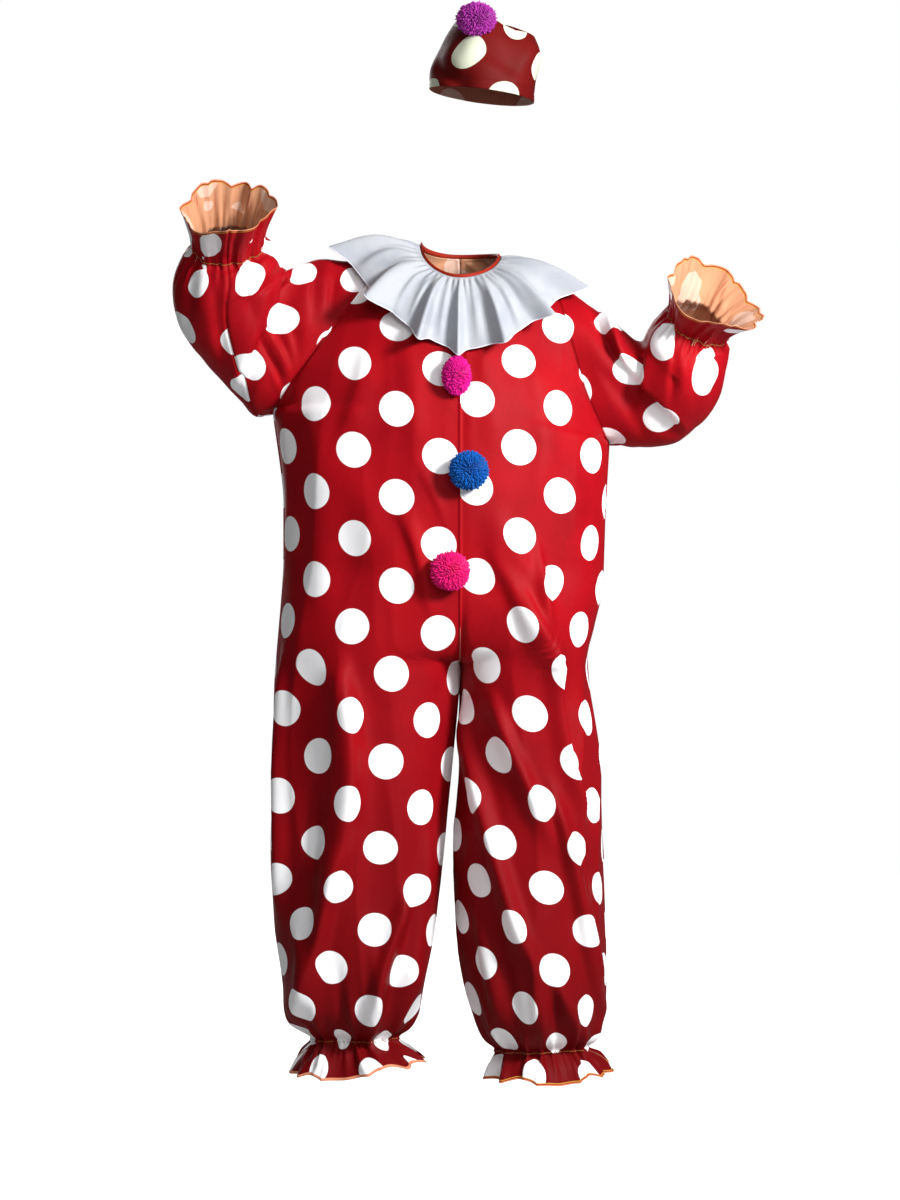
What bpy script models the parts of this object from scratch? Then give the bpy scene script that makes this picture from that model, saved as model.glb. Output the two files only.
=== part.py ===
"""Clown costume: a loose one-piece suit with a ruffled collar and pom-poms, and its small hat.

Metres, +Z up. The front faces -Y and the wearer's left is +X. The origin is the centre of the neck.
The suit is cut as two fronts and two backs from shoulder to ankle frill, and two sleeves to cuff frill.
Each piece of cloth is a sheet of columns and rows, and a function of its sizes puts every corner in place.
"""

import math
from functools import partial

import bmesh
import bpy
from mathutils import Matrix, Vector

CLOTH = 0.0016
SEAM_GAP = 0.0003
STEP = 0.002  # the smallest step along a surface, as a share of its width or of a station

# Side view of the suit from hem to shoulder, the same for both sides of the body. start and end are the
# angles where a section's curve begins and ends: 0 is the inseam, 90 the centre seam, 180 the side seam.
PROFILE_COLUMNS = ("front", "back", "front_edge", "back_edge", "back_rise", "start", "end", "rows")
PROFILE = (
    (-0.098, 0.094, 0.0, 0.0, 0.0, 0, 180, 1),  # 0 hem of the ankle frill
    (-0.083, 0.080, 0.0, 0.0, 0.0, 0, 180, 2),  # 1 middle of the frill
    (-0.066, 0.063, 0.0, 0.0, 0.0, 0, 180, 1),  # 2 ankle elastic
    (-0.084, 0.082, 0.0, 0.0, 0.0, 0, 180, 2),  # 3 cloth springing out above it
    (-0.115, 0.114, 0.0, 0.0, 0.0, 0, 180, 2),  # 4 bulge over the ankle
    (-0.138, 0.136, 0.0, 0.0, 0.0, 0, 180, 2),  # 5 shin
    (-0.146, 0.140, 0.0, 0.0, 0.0, 0, 180, 2),  # 6 knee
    (-0.152, 0.142, 0.0, 0.0, 0.0, 0, 180, 2),  # 7 thigh
    (-0.160, 0.148, 0.0, 0.0, 0.0, 0, 180, 1),  # 8 crotch
    (-0.165, 0.152, 0.0, 0.0, 0.0, 35, 180, 1),  # 9 seat
    (-0.168, 0.154, 0.0, 0.0, 0.0, 65, 180, 1),  # 10 hip
    (-0.172, 0.154, 0.0, 0.0, 0.0, 90, 180, 2),  # 11 belly
    (-0.175, 0.152, 0.0, 0.0, 0.0, 90, 180, 2),  # 12 waist
    (-0.165, 0.150, 0.0, 0.0, 0.0, 90, 180, 1),  # 13 underarm
    (-0.159, 0.149, -0.038, 0.040, 0.006, 90, 163, 2),  # 14 lower armhole
    (-0.138, 0.142, -0.075, 0.078, 0.020, 90, 142, 3),  # 15 chest
    (-0.085, 0.078, -0.070, 0.068, 0.047, 90, 126, 4),  # 16 neck
    (0.000, 0.000, 0.0, 0.0, 0.0, 90, 120, 0),  # 17 shoulder seam
)
CROTCH, UNDERARM, NECK, SHOULDER = 8, 13, 16, 17
GATHERED_TO = 4  # the ankle's gathers end at this station

# Front view of each half of the suit, one row a station: the inner edge runs up the inseam, the centre
# seam and the neckline, and the outer edge up the side seam and the armhole.
OUTLINE_COLUMNS = ("x_in", "z_in", "x_out", "z_out")
RIGHT_OUTLINE = (
    (-0.066, -1.318, -0.266, -1.332),
    (-0.088, -1.300, -0.254, -1.308),
    (-0.108, -1.279, -0.240, -1.279),
    (-0.093, -1.262, -0.252, -1.262),
    (-0.075, -1.225, -0.274, -1.225),
    (-0.050, -1.135, -0.297, -1.135),
    (-0.031, -0.970, -0.310, -0.970),
    (-0.016, -0.820, -0.304, -0.820),
    (0.000, -0.668, -0.299, -0.660),
    (0.000, -0.650, -0.296, -0.600),
    (0.000, -0.602, -0.292, -0.545),
    (0.000, -0.520, -0.289, -0.485),
    (0.000, -0.410, -0.289, -0.395),
    (0.000, -0.270, -0.306, -0.252),
    (0.000, -0.235, -0.296, -0.236),
    (0.000, -0.155, -0.250, -0.166),
    (0.000, -0.035, -0.168, -0.062),
    (-0.066, 0.026, -0.122, 0.006),
)
LEFT_OUTLINE = (
    (0.050, -1.336, 0.238, -1.320),
    (0.058, -1.318, 0.225, -1.306),
    (0.067, -1.299, 0.208, -1.294),
    (0.052, -1.281, 0.219, -1.276),
    (0.030, -1.240, 0.232, -1.236),
    (0.003, -1.140, 0.239, -1.140),
    (-0.005, -0.970, 0.233, -0.970),
    (0.004, -0.820, 0.228, -0.820),
    (0.000, -0.668, 0.206, -0.665),
    (0.000, -0.650, 0.218, -0.604),
    (0.000, -0.602, 0.229, -0.552),
    (0.000, -0.520, 0.235, -0.490),
    (0.000, -0.410, 0.238, -0.410),
    (0.000, -0.270, 0.244, -0.303),
    (0.000, -0.235, 0.236, -0.288),
    (0.000, -0.155, 0.202, -0.212),
    (0.000, -0.035, 0.176, -0.115),
    (0.066, 0.007, 0.153, -0.030),
)

# Sections of a tube: its inner and outer edge in the front view, how far forward each lies, half its
# depth, and the lean that lifts its back. The sleeves' first section is the armhole itself.
TUBE_COLUMNS = ("x_in", "y_in", "z_in", "x_out", "y_out", "z_out", "depth", "lean", "rows")
RIGHT_SLEEVE = (
    (-0.122, 0.000, 0.006, -0.306, 0.000, -0.252, 0.078, 0, 2),  # 0 armhole
    (-0.186, 0.000, 0.001, -0.330, -0.004, -0.256, 0.088, 0, 1),  # 1
    (-0.232, -0.008, 0.004, -0.348, -0.012, -0.247, 0.093, 0, 1),  # 2 upper arm
    (-0.258, -0.022, -0.004, -0.376, -0.026, -0.216, 0.096, 0, 1),  # 3
    (-0.273, -0.038, -0.014, -0.416, -0.044, -0.172, 0.097, 0, 1),  # 4
    (-0.284, -0.054, -0.018, -0.450, -0.062, -0.126, 0.095, 7, 1),  # 5 crook of the elbow
    (-0.291, -0.070, -0.012, -0.466, -0.078, -0.085, 0.091, 16, 1),  # 6
    (-0.294, -0.086, 0.002, -0.468, -0.090, -0.042, 0.085, 25, 1),  # 7 forearm
    (-0.302, -0.099, 0.014, -0.453, -0.100, -0.004, 0.072, 34, 2),  # 8
    (-0.318, -0.110, 0.021, -0.435, -0.110, 0.014, 0.056, 40, 2),  # 9 cuff elastic
    (-0.309, -0.134, 0.048, -0.441, -0.134, 0.042, 0.064, 40, 1),  # 10 middle of the frill
    (-0.292, -0.158, 0.078, -0.449, -0.158, 0.068, 0.076, 40, 0),  # 11 hem of the frill
)
LEFT_SLEEVE = (
    (0.153, 0.000, -0.030, 0.244, 0.000, -0.303, 0.078, 0, 2),
    (0.206, 0.000, -0.066, 0.280, 0.000, -0.307, 0.088, 0, 1),
    (0.246, -0.008, -0.093, 0.317, -0.010, -0.307, 0.092, 0, 1),
    (0.272, -0.020, -0.116, 0.358, -0.024, -0.298, 0.094, 0, 1),
    (0.288, -0.034, -0.131, 0.398, -0.038, -0.267, 0.092, 4, 1),
    (0.298, -0.048, -0.132, 0.424, -0.050, -0.228, 0.088, 12, 1),
    (0.305, -0.062, -0.118, 0.434, -0.063, -0.193, 0.082, 21, 1),
    (0.315, -0.073, -0.101, 0.438, -0.074, -0.166, 0.074, 30, 1),
    (0.328, -0.082, -0.088, 0.437, -0.083, -0.150, 0.064, 37, 2),
    (0.341, -0.090, -0.080, 0.432, -0.090, -0.134, 0.053, 40, 2),
    (0.342, -0.106, -0.051, 0.455, -0.106, -0.117, 0.066, 40, 1),
    (0.340, -0.124, -0.022, 0.484, -0.124, -0.108, 0.080, 40, 0),
)
CUFF_GATHERED_FROM = 8

# Gathers and frill waves: how many go round, and how deep they are at each station.
ANKLE_WAVES = 15
ANKLE_DEPTHS = (0.0120, 0.0085, 0.0045, 0.0060, 0.0035) + (0.0,) * 13
CUFF_WAVES = 15
CUFF_DEPTHS = (0.0,) * 8 + (0.0030, 0.0040, 0.0075, 0.0100)
COLLAR_WAVES = 16
FOLLOWING_WAVES = 3  # slower waves that make the gathers uneven
UNEVEN_SPACING = 0.006
UNEVEN_DEPTH = 0.28

# The largest folds: a straight crease in the front view, its half width, and its height, where a
# trough is below zero. The folds of a back are seen from behind, in the same directions.
FOLD_COLUMNS = ("x_top", "z_top", "x_low", "z_low", "width", "height")
FOLDS = {
    "front_right": (
        (-0.165, -0.700, -0.200, -1.050, 0.030, -0.016),  # down the thigh and shin
        (-0.120, -0.760, -0.130, -1.120, 0.034, 0.010),
        (-0.262, -0.560, -0.284, -1.040, 0.026, -0.010),
        (-0.235, -1.080, -0.225, -1.230, 0.024, 0.010),
        (-0.110, -0.260, -0.040, -0.450, 0.028, -0.008),  # across the belly
        (-0.090, -1.080, -0.120, -1.230, 0.022, -0.010),
    ),
    "front_left": (
        (0.115, -0.600, 0.180, -0.860, 0.026, -0.015),  # from the hip down the thigh
        (0.030, -0.700, 0.125, -1.150, 0.030, -0.012),
        (0.090, -0.760, 0.170, -1.180, 0.030, 0.009),
        (0.205, -0.860, 0.212, -1.080, 0.022, -0.010),
        (0.130, -0.420, 0.140, -0.580, 0.030, -0.009),
        (0.200, -1.060, 0.222, -1.210, 0.022, 0.012),
    ),
    "back_right": (
        (-0.120, -0.220, -0.160, -0.620, 0.036, 0.010),
        (-0.220, -0.360, -0.250, -0.900, 0.032, -0.010),
        (-0.140, -0.700, -0.170, -1.150, 0.034, -0.013),
        (-0.240, -0.960, -0.240, -1.220, 0.028, 0.009),
    ),
    "back_left": (
        (0.100, -0.240, 0.130, -0.640, 0.036, 0.010),
        (0.180, -0.380, 0.200, -0.880, 0.030, -0.010),
        (0.100, -0.700, 0.130, -1.160, 0.034, -0.012),
        (0.190, -0.980, 0.190, -1.200, 0.028, 0.010),
    ),
    "sleeve_right": (
        (-0.250, -0.020, -0.330, -0.200, 0.024, -0.012),  # from the shoulder to the elbow
        (-0.350, -0.040, -0.400, -0.170, 0.022, 0.009),
    ),
    "sleeve_left": (
        (0.232, -0.070, 0.285, -0.200, 0.022, 0.012),
        (0.290, -0.140, 0.350, -0.290, 0.022, -0.011),
    ),
}
FOLDS = {piece: [dict(zip(FOLD_COLUMNS, row)) for row in rows] for piece, rows in FOLDS.items()}
EDGE_FADE = 0.16  # a fold dies away over this share of a panel's width beside its seams
END_FADE = 0.045  # and over this length past its two ends
SLEEVE_FRONT = 0.7  # a sleeve's folds reach full height where its side faces this much to the front

BODY_COLUMNS = 10
REFINE_CUTS = 2  # extra columns put between two where the cloth is gathered
BODY_REACH = (1.0 / (BODY_COLUMNS * (REFINE_CUTS + 1)), 0.12)  # how far off a wall's slope is read
SLEEVE_REACH = (1.0 / (REFINE_CUTS + 1), 0.12)
FULLNESS = 0.8  # under 1 the sections are fuller than an ellipse

# The collar's outer edge, every eighth of a turn from the centre front toward the wearer's left.
COLLAR_EDGE = (
    (0.000, -0.160, -0.160),
    (0.122, -0.150, -0.112),
    (0.198, -0.010, -0.040),
    (0.130, 0.138, -0.070),
    (0.000, 0.166, -0.120),
    (-0.130, 0.138, -0.060),
    (-0.206, -0.010, 0.022),
    (-0.122, -0.146, -0.092),
)
COLLAR_COLUMNS = 80
COLLAR_ROWS = 4
COLLAR_ARCH = 0.014
COLLAR_WAVE = 0.0085
COLLAR_SCALLOP = 0.006
COLLAR_LIFT = CLOTH + 2 * SEAM_GAP
COLLAR_REACH = (1.0 / COLLAR_COLUMNS, 0.1)

BINDING_GAP = 2 * SEAM_GAP
BINDING_HEIGHT = 0.006
BINDING_INSIDE = -0.0012
BINDING_OUTSIDE = 0.0036

HAT_SECTIONS = (
    (-0.050, -0.010, 0.284, 0.122, -0.010, 0.261, 0.090, 0, 2),  # lower edge
    (-0.048, -0.010, 0.316, 0.126, -0.010, 0.300, 0.090, 0, 1),
    (-0.033, -0.008, 0.348, 0.133, -0.008, 0.325, 0.085, 0, 1),
    (-0.014, -0.005, 0.380, 0.132, -0.005, 0.345, 0.078, 0, 1),
    (0.004, 0.000, 0.405, 0.126, 0.000, 0.364, 0.068, 0, 0),  # top edge
)
HAT_COLUMNS = 24
HAT_TOP_ROWS = 3
HAT_DOME = 0.008
HAT_DENT = 0.006
HAT_DENTS = 5
HAT_REACH = (1.0, 0.5)
SEAT_STEPS = 10  # steps to a column or station in which the pom-pom's seat is looked for
HAT_FLAT = 0.0007  # how far the middles of the hat's flat sides lie inside its curve

# Pom-poms: where they sit in the front view, their half width, half height and how far they stand out.
POMPOM_COLUMNS = ("x", "z", "half_width", "half_height", "half_depth")
POMPOMS = {
    "pompom_top": (-0.005, -0.200, 0.0256, 0.0345, 0.024),
    "pompom_middle": (0.013, -0.351, 0.0345, 0.0345, 0.031),
    "pompom_bottom": (-0.015, -0.513, 0.0340, 0.0340, 0.031),
    "pompom_hat": (0.030, 0.381, 0.0345, 0.0290, 0.029),
}
BACKING_SHARE = 0.62  # the backing's radius as a share of the pom-pom's
LOCK_INSET = 0.05
FLAT_BACK = -0.45
BACK_FACING = -0.9  # a face turned back further than this is the flat back, and has no lock
LOCK_UNEVENNESS = 0.08
LOCK_TURN = 2.4  # radians from one lock to the next in the wave that makes their lengths uneven

RED = (0.637, 0.014, 0.025, 1.0)
DARK_RED = (0.360, 0.012, 0.012, 1.0)
WHITE = (0.745, 0.780, 0.840, 1.0)
BINDING_RED = (0.400, 0.030, 0.018, 1.0)
POMPOM_COLOURS = {
    "pompom_top": (0.672, 0.006, 0.262, 1.0),
    "pompom_middle": (0.003, 0.095, 0.392, 1.0),
    "pompom_bottom": (0.823, 0.006, 0.188, 1.0),
    "pompom_hat": (0.323, 0.023, 0.287, 1.0),
}
CLOTH_ROUGHNESS = 0.62
YARN_ROUGHNESS = 0.9


def table(header, rows):
    return {name: [row[place] for row in rows] for place, name in enumerate(header)}


PROFILES = table(PROFILE_COLUMNS, PROFILE)
OUTLINES = {"right": table(OUTLINE_COLUMNS, RIGHT_OUTLINE), "left": table(OUTLINE_COLUMNS, LEFT_OUTLINE)}
SLEEVES = {"right": table(TUBE_COLUMNS, RIGHT_SLEEVE), "left": table(TUBE_COLUMNS, LEFT_SLEEVE)}
HAT = table(TUBE_COLUMNS, HAT_SECTIONS)
SIDE_SIGN = {"right": -1.0, "left": 1.0}
FACE_SIGN = {"front": -1.0, "back": 1.0}


def slope_at(values, place):
    """The slope of a table's column at one of its rows, kept level at a peak."""
    steps = [values[k + 1] - values[k] for k in (place - 1, place) if 0 <= k < len(values) - 1]
    if len(steps) == 1:
        return steps[0]
    before, after = steps
    if before * after <= 0:
        return 0.0
    return 2.0 * before * after / (before + after)


def between(values, station):
    """A column's value between two of its rows, on a cubic that never overshoots them."""
    low = min(max(math.floor(station), 0), len(values) - 2)
    t = station - low
    start, end = values[low], values[low + 1]
    start_slope, end_slope = slope_at(values, low), slope_at(values, low + 1)
    square, cube = t * t, t * t * t
    return (
        start * (2 * cube - 3 * square + 1)
        + start_slope * (cube - 2 * square + t)
        + end * (3 * square - 2 * cube)
        + end_slope * (cube - square)
    )


def stations_of(rows):
    """The station of every row of corners, from the number of rows after each station."""
    stations = []
    for place, count in enumerate(rows):
        stations += [place + k / count for k in range(count)] if count else [float(place)]
    return stations


BODY_STATIONS = stations_of(PROFILES["rows"])
ARMHOLE_STATIONS = [station for station in BODY_STATIONS if station >= UNDERARM]
SLEEVE_STATIONS = stations_of(SLEEVES["right"]["rows"])
HAT_STATIONS = stations_of(HAT["rows"])


def gather(turn, waves):
    """Uneven waves round a tube, from -1 to 1, as turn goes from 0 to 1."""
    slow = math.sin(4 * math.pi * turn) + 0.6 * math.sin(12 * math.pi * turn)
    phase = 2 * math.pi * waves * (turn + UNEVEN_SPACING * slow)
    share = 1.0 - UNEVEN_DEPTH * (1.0 + math.sin(2 * math.pi * FOLLOWING_WAVES * turn))
    return share * math.cos(phase)


def fade(distance, width):
    """0 at an edge and 1 from width onward, on a smooth curve."""
    t = min(max(distance / width, 0.0), 1.0)
    return t * t * (3.0 - 2.0 * t)


def fold_height(piece, point):
    """How far the largest folds move a point of a piece outward."""
    height = 0.0
    for fold in FOLDS[piece]:
        along_x, along_z = fold["x_low"] - fold["x_top"], fold["z_low"] - fold["z_top"]
        length = math.hypot(along_x, along_z)
        from_x, from_z = point.x - fold["x_top"], point.z - fold["z_top"]
        along = (from_x * along_x + from_z * along_z) / length
        across = (from_x * along_z - from_z * along_x) / length
        ends = fade(along + END_FADE, 2 * END_FADE) * fade(length + END_FADE - along, 2 * END_FADE)
        height += fold["height"] * ends * math.exp(-((across / fold["width"]) ** 2))
    return height


def body_base(side, face, u, station):
    """A point of a front or back before its folds: u is 0 at the inner edge and 1 at the outer edge."""
    outline = OUTLINES[side]
    x_in, z_in = between(outline["x_in"], station), between(outline["z_in"], station)
    x_out, z_out = between(outline["x_out"], station), between(outline["z_out"], station)
    y_deep = between(PROFILES[face], station)
    y_edge = between(PROFILES[face + "_edge"], station)
    if face == "back":
        z_in += between(PROFILES["back_rise"], station)
    if station > NECK:
        quarter = (station - NECK) * math.pi / 2
        rise = PROFILES["back_rise"][NECK] if face == "back" else 0.0
        z_top = outline["z_in"][SHOULDER]
        x_in = outline["x_in"][SHOULDER] * math.sin(quarter)
        z_in = z_top - (z_top - outline["z_in"][NECK] - rise) * math.cos(quarter)
        y_deep = PROFILES[face][NECK] * math.cos(quarter)
    start = math.radians(between(PROFILES["start"], station))
    end = math.radians(between(PROFILES["end"], station))
    angle = start + (end - start) * u
    share = (math.cos(start) - math.cos(angle)) / (math.cos(start) - math.cos(end))
    rounding = (y_edge - y_deep) / (1.0 - abs(math.sin(end)) ** FULLNESS)
    y = y_deep + rounding * (1.0 - abs(math.sin(angle)) ** FULLNESS)
    return Vector((x_in + (x_out - x_in) * share, y, z_in + (z_out - z_in) * share))


def surface_normal(surface, u, v, sign, reach=(STEP, STEP)):
    """The outward normal of a surface at (u, v), from the points that lie reach away each way."""
    across = surface(u + reach[0], v) - surface(u - reach[0], v)
    along = surface(u, v + reach[1]) - surface(u, v - reach[1])
    return (sign * across.cross(along)).normalized()


def body_point(side, face, u, station):
    """A point of a front or back with its gathers and folds."""
    sign = -SIDE_SIGN[side] * FACE_SIGN[face]
    base = body_base(side, face, u, station)
    turn = u / 2 if face == "front" else 1.0 - u / 2
    height = between(ANKLE_DEPTHS, station) * gather(turn, ANKLE_WAVES)
    edges = fade(u, EDGE_FADE) * fade(1.0 - u, EDGE_FADE) * fade(SHOULDER - station, 1.0)
    height += edges * fold_height(face + "_" + side, base)
    if height == 0.0:
        return base
    u_inside = min(max(u, STEP), 1.0 - STEP)
    station_inside = min(max(station, STEP), SHOULDER - STEP)
    normal = surface_normal(partial(body_base, side, face), u_inside, station_inside, sign)
    if u in (0.0, 1.0):
        normal.y = 0.0
    if station < CROTCH:
        normal.z = 0.0  # level, so that waves don't run into each other in the waist of the elastic
    return base + normal.normalized() * height


def past_seam(side, face, u, station):
    """A point of a front or back, or of its neighbour where u runs past the inseam or the side seam."""
    other = "back" if face == "front" else "front"
    station = min(max(station, 0.0), SHOULDER)
    if u < 0.0 and station < CROTCH:
        return body_point(side, other, -u, station)
    if u > 1.0 and station < UNDERARM:
        return body_point(side, other, 2.0 - u, station)
    return body_point(side, face, min(max(u, 0.0), 1.0), station)


def body_normal(side, face, u, station):
    """The direction of the wall's thickness, shared with the neighbour at each seam."""
    sign = -SIDE_SIGN[side] * FACE_SIGN[face]
    normal = surface_normal(partial(past_seam, side, face), u, station, sign, BODY_REACH)
    if u == 0.0 and station == CROTCH:
        return Vector((0.0, 0.0, -1.0))
    if u == 0.0 and CROTCH < station <= NECK:
        normal.x = 0.0
    if (u == 0.0 and station < CROTCH) or (u == 1.0 and station <= UNDERARM) or station == SHOULDER:
        normal.y = 0.0
    return normal.normalized()


def armhole_station(column):
    """The face and station that a sleeve's column meets, from the underarm round the front."""
    half = len(ARMHOLE_STATIONS) - 1
    column = column % (2 * half)
    face = "front" if column <= half else "back"
    row = column if column <= half else 2 * half - column
    low = min(int(row), half - 1)
    station = ARMHOLE_STATIONS[low] + (ARMHOLE_STATIONS[low + 1] - ARMHOLE_STATIONS[low]) * (row - low)
    return face, station


def armhole_point(side, column):
    face, station = armhole_station(column)
    return body_point(side, face, 1.0, station)


SLEEVE_COLUMNS = 2 * (len(ARMHOLE_STATIONS) - 1)


def armhole_turns(side):
    """How far round its sleeve each column lies, so that the columns keep their spacing down the arm."""
    points = [armhole_point(side, column) for column in range(SLEEVE_COLUMNS + 1)]
    lengths = [0.0]
    for before, after in zip(points, points[1:]):
        lengths.append(lengths[-1] + (after - before).length)
    return [length / lengths[-1] for length in lengths]


ARMHOLE_TURNS = {side: armhole_turns(side) for side in SIDE_SIGN}


def sleeve_turn(side, column):
    column = column % SLEEVE_COLUMNS
    low = int(column)
    turns = ARMHOLE_TURNS[side]
    return turns[low] + (turns[low + 1] - turns[low]) * (column - low)


def ring_point(tube, place, turn):
    """A point of one of a tube's sections: turn is 0 at its outer edge and a quarter at its front."""
    inner = Vector((tube["x_in"][place], tube["y_in"][place], tube["z_in"][place]))
    outer = Vector((tube["x_out"][place], tube["y_out"][place], tube["z_out"][place]))
    chord = outer - inner
    lift = chord.cross(Vector((0.0, 1.0, 0.0))).normalized()
    if lift.z < 0.0:
        lift.negate()
    lean = math.radians(tube["lean"][place])
    backward = Vector((0.0, math.cos(lean), 0.0)) + lift * math.sin(lean)
    angle = 2 * math.pi * turn
    middle = (inner + outer) / 2
    return middle + chord / 2 * math.cos(angle) - backward * tube["depth"][place] * math.sin(angle)


def sleeve_section(side, column, place):
    if place == 0:
        return armhole_point(side, column)
    return ring_point(SLEEVES[side], place, sleeve_turn(side, column))


def through_sections(section, last, station):
    """A point between two sections of a tube, on a curve through four of them."""
    low = min(max(math.floor(station), 0), last - 1)
    t = station - low
    places = (max(low - 1, 0), low, low + 1, min(low + 2, last))
    before, start, end, after = (section(place) for place in places)
    start_slope, end_slope = (end - before) / 2, (after - start) / 2
    square, cube = t * t, t * t * t
    return (
        start * (2 * cube - 3 * square + 1)
        + start_slope * (cube - 2 * square + t)
        + end * (3 * square - 2 * cube)
        + end_slope * (cube - square)
    )


def ring_middle(tube, place):
    return (ring_point(tube, place, 0.0) + ring_point(tube, place, 0.5)) / 2


def sleeve_base(side, column, station):
    last = len(SLEEVES[side]["depth"]) - 1
    return through_sections(lambda place: sleeve_section(side, column, place), last, station)


def sleeve_middle(side, station):
    last = len(SLEEVES[side]["depth"]) - 1
    return through_sections(lambda place: ring_middle(SLEEVES[side], place), last, station)


def sleeve_point(side, column, station):
    """A point of a sleeve with its gathers, and with the folds of its front."""
    base = sleeve_base(side, column, station)
    if station <= 0.0:
        return base
    turn = sleeve_turn(side, column)
    wave = between(CUFF_DEPTHS, station) * gather(turn, CUFF_WAVES)
    if wave:
        base += (base - sleeve_middle(side, station)).normalized() * wave
    in_front = fade(math.sin(2 * math.pi * turn), SLEEVE_FRONT) * fade(station, 1.0)
    height = in_front * fold_height("sleeve_" + side, base)
    if height == 0.0:
        return base
    station_inside = min(station, len(CUFF_DEPTHS) - 1 - STEP)
    normal = surface_normal(partial(sleeve_base, side), column, station_inside, -SIDE_SIGN[side])
    return base + normal * height


def sleeve_normal(side, column, station):
    last = len(CUFF_DEPTHS) - 1

    def inside(near_column, near_station):
        return sleeve_point(side, near_column, min(max(near_station, 0.0), last))

    return surface_normal(inside, column, station, -SIDE_SIGN[side], SLEEVE_REACH)


def armhole_frame(side, column):
    """At the armhole seam, the shared thickness direction and the direction across it to the sleeve."""
    face, station = armhole_station(column)
    normal = body_normal(side, face, 1.0, station) + sleeve_normal(side, column, 0.0)
    normal.normalize()
    along = armhole_point(side, column + 1) - armhole_point(side, column - 1)
    across = along.cross(normal).normalized()
    onward = sleeve_base(side, column, 1.0) - armhole_point(side, column)
    if across.dot(onward) < 0.0:
        across.negate()
    return normal, across


def place_body(side, face):
    """Returns the function that puts a corner of a front's or back's sheet in place."""

    def place(column, row, layer):
        u = column / BODY_COLUMNS
        station = BODY_STATIONS[row]
        point = body_point(side, face, u, station)
        half_gap = SEAM_GAP / 2
        if u == 0.0 and CROTCH <= station <= NECK:
            point.x += SIDE_SIGN[side] * half_gap
        if (u == 0.0 and station <= CROTCH) or (u == 1.0 and station <= UNDERARM) or station == SHOULDER:
            point.y += FACE_SIGN[face] * half_gap
        if u < 1.0 or station < UNDERARM:
            return point + body_normal(side, face, u, station) * CLOTH * (layer - 0.5)
        armhole_row = ARMHOLE_STATIONS.index(station)
        sleeve_column = armhole_row if face == "front" else SLEEVE_COLUMNS - armhole_row
        normal, across = armhole_frame(side, sleeve_column)
        return point - across * half_gap + normal * CLOTH * (layer - 0.5)

    return place


def place_sleeve(side):
    """Returns the function that puts a corner of a sleeve's sheet in place."""

    def place(column, row, layer):
        station = SLEEVE_STATIONS[row]
        point = sleeve_point(side, column, station)
        if row == 0:
            normal, across = armhole_frame(side, column)
            point += across * SEAM_GAP / 2
        else:
            normal = sleeve_normal(side, column, station)
        return point + normal * CLOTH * (layer - 0.5)

    return place


NECKLINE_ROWS = PROFILES["rows"][NECK]
NECKLINE_COLUMNS = 4 * NECKLINE_ROWS


def neckline_place(column):
    """The side, face and station of one of the neckline's columns, from the centre front to the left."""
    quarter, along = divmod(column % NECKLINE_COLUMNS, NECKLINE_ROWS)
    side = "left" if quarter in (0, 1) else "right"
    face = "front" if quarter in (0, 3) else "back"
    share = along / NECKLINE_ROWS if quarter in (0, 2) else 1.0 - along / NECKLINE_ROWS
    return side, face, NECK + share


def neckline_point(column):
    side, face, station = neckline_place(column)
    return body_point(side, face, 0.0, station)


def neckline(column):
    """A point of the neckline, its outward normal, and the direction off the cloth toward the neck."""
    side, face, station = neckline_place(column)
    normal = body_normal(side, face, 0.0, station)
    along = neckline_point(column + 1) - neckline_point(column - 1)
    return neckline_point(column), normal, normal.cross(along).normalized()


def place_binding(column, row, layer):
    """The neck binding is a strip on the neckline's edge, over the ends of the suit and the collar."""
    point, normal, off = neckline(column)
    upward = (off + Vector((0.0, 0.0, 1.0))).normalized()
    depth = BINDING_OUTSIDE if layer else BINDING_INSIDE
    return point + normal * depth + off * BINDING_GAP + upward * BINDING_HEIGHT * row


def collar_edge(turn):
    """The collar's outer edge, on a closed curve through the points of its table."""
    count = len(COLLAR_EDGE)
    place = turn * count
    low = math.floor(place)
    t = place - low
    before, start, end, after = (Vector(COLLAR_EDGE[(low + k) % count]) for k in (-1, 0, 1, 2))
    square, cube = t * t, t * t * t
    return (
        start * (2 * cube - 3 * square + 1)
        + (end - before) / 2 * (cube - 2 * square + t)
        + end * (3 * square - 2 * cube)
        + (after - start) / 2 * (cube - square)
    )


def collar_base(turn, share):
    """The collar before its waves: share is 0 at the neckline and 1 at the outer edge."""
    inner, normal, _ = neckline(turn * NECKLINE_COLUMNS)
    middle = (inner + normal * COLLAR_LIFT).lerp(collar_edge(turn), share)
    return middle + Vector((0.0, 0.0, COLLAR_ARCH * math.sin(math.pi * share)))


def collar_point(turn, share):
    share = max(share, 0.0)
    normal = surface_normal(collar_base, turn, share, -1.0, COLLAR_REACH)
    wave = gather(turn, COLLAR_WAVES)
    point = collar_base(turn, share) + normal * wave * COLLAR_WAVE * share**1.3
    outward = (collar_edge(turn) - collar_base(turn, 0.0)).normalized()
    return point + outward * COLLAR_SCALLOP * wave * share


def place_collar(column, row, layer):
    turn = column / COLLAR_COLUMNS
    share = row / COLLAR_ROWS
    normal = surface_normal(collar_point, turn, share, -1.0, COLLAR_REACH)
    if row == 0:
        normal = neckline(turn * NECKLINE_COLUMNS)[1]
    return collar_point(turn, share) + normal * CLOTH * (layer - 0.5)


def hat_base(column, station):
    last = len(HAT["depth"]) - 1
    turn = 0.5 - column / HAT_COLUMNS
    return through_sections(lambda place: ring_point(HAT, place, turn), last, station)


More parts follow.
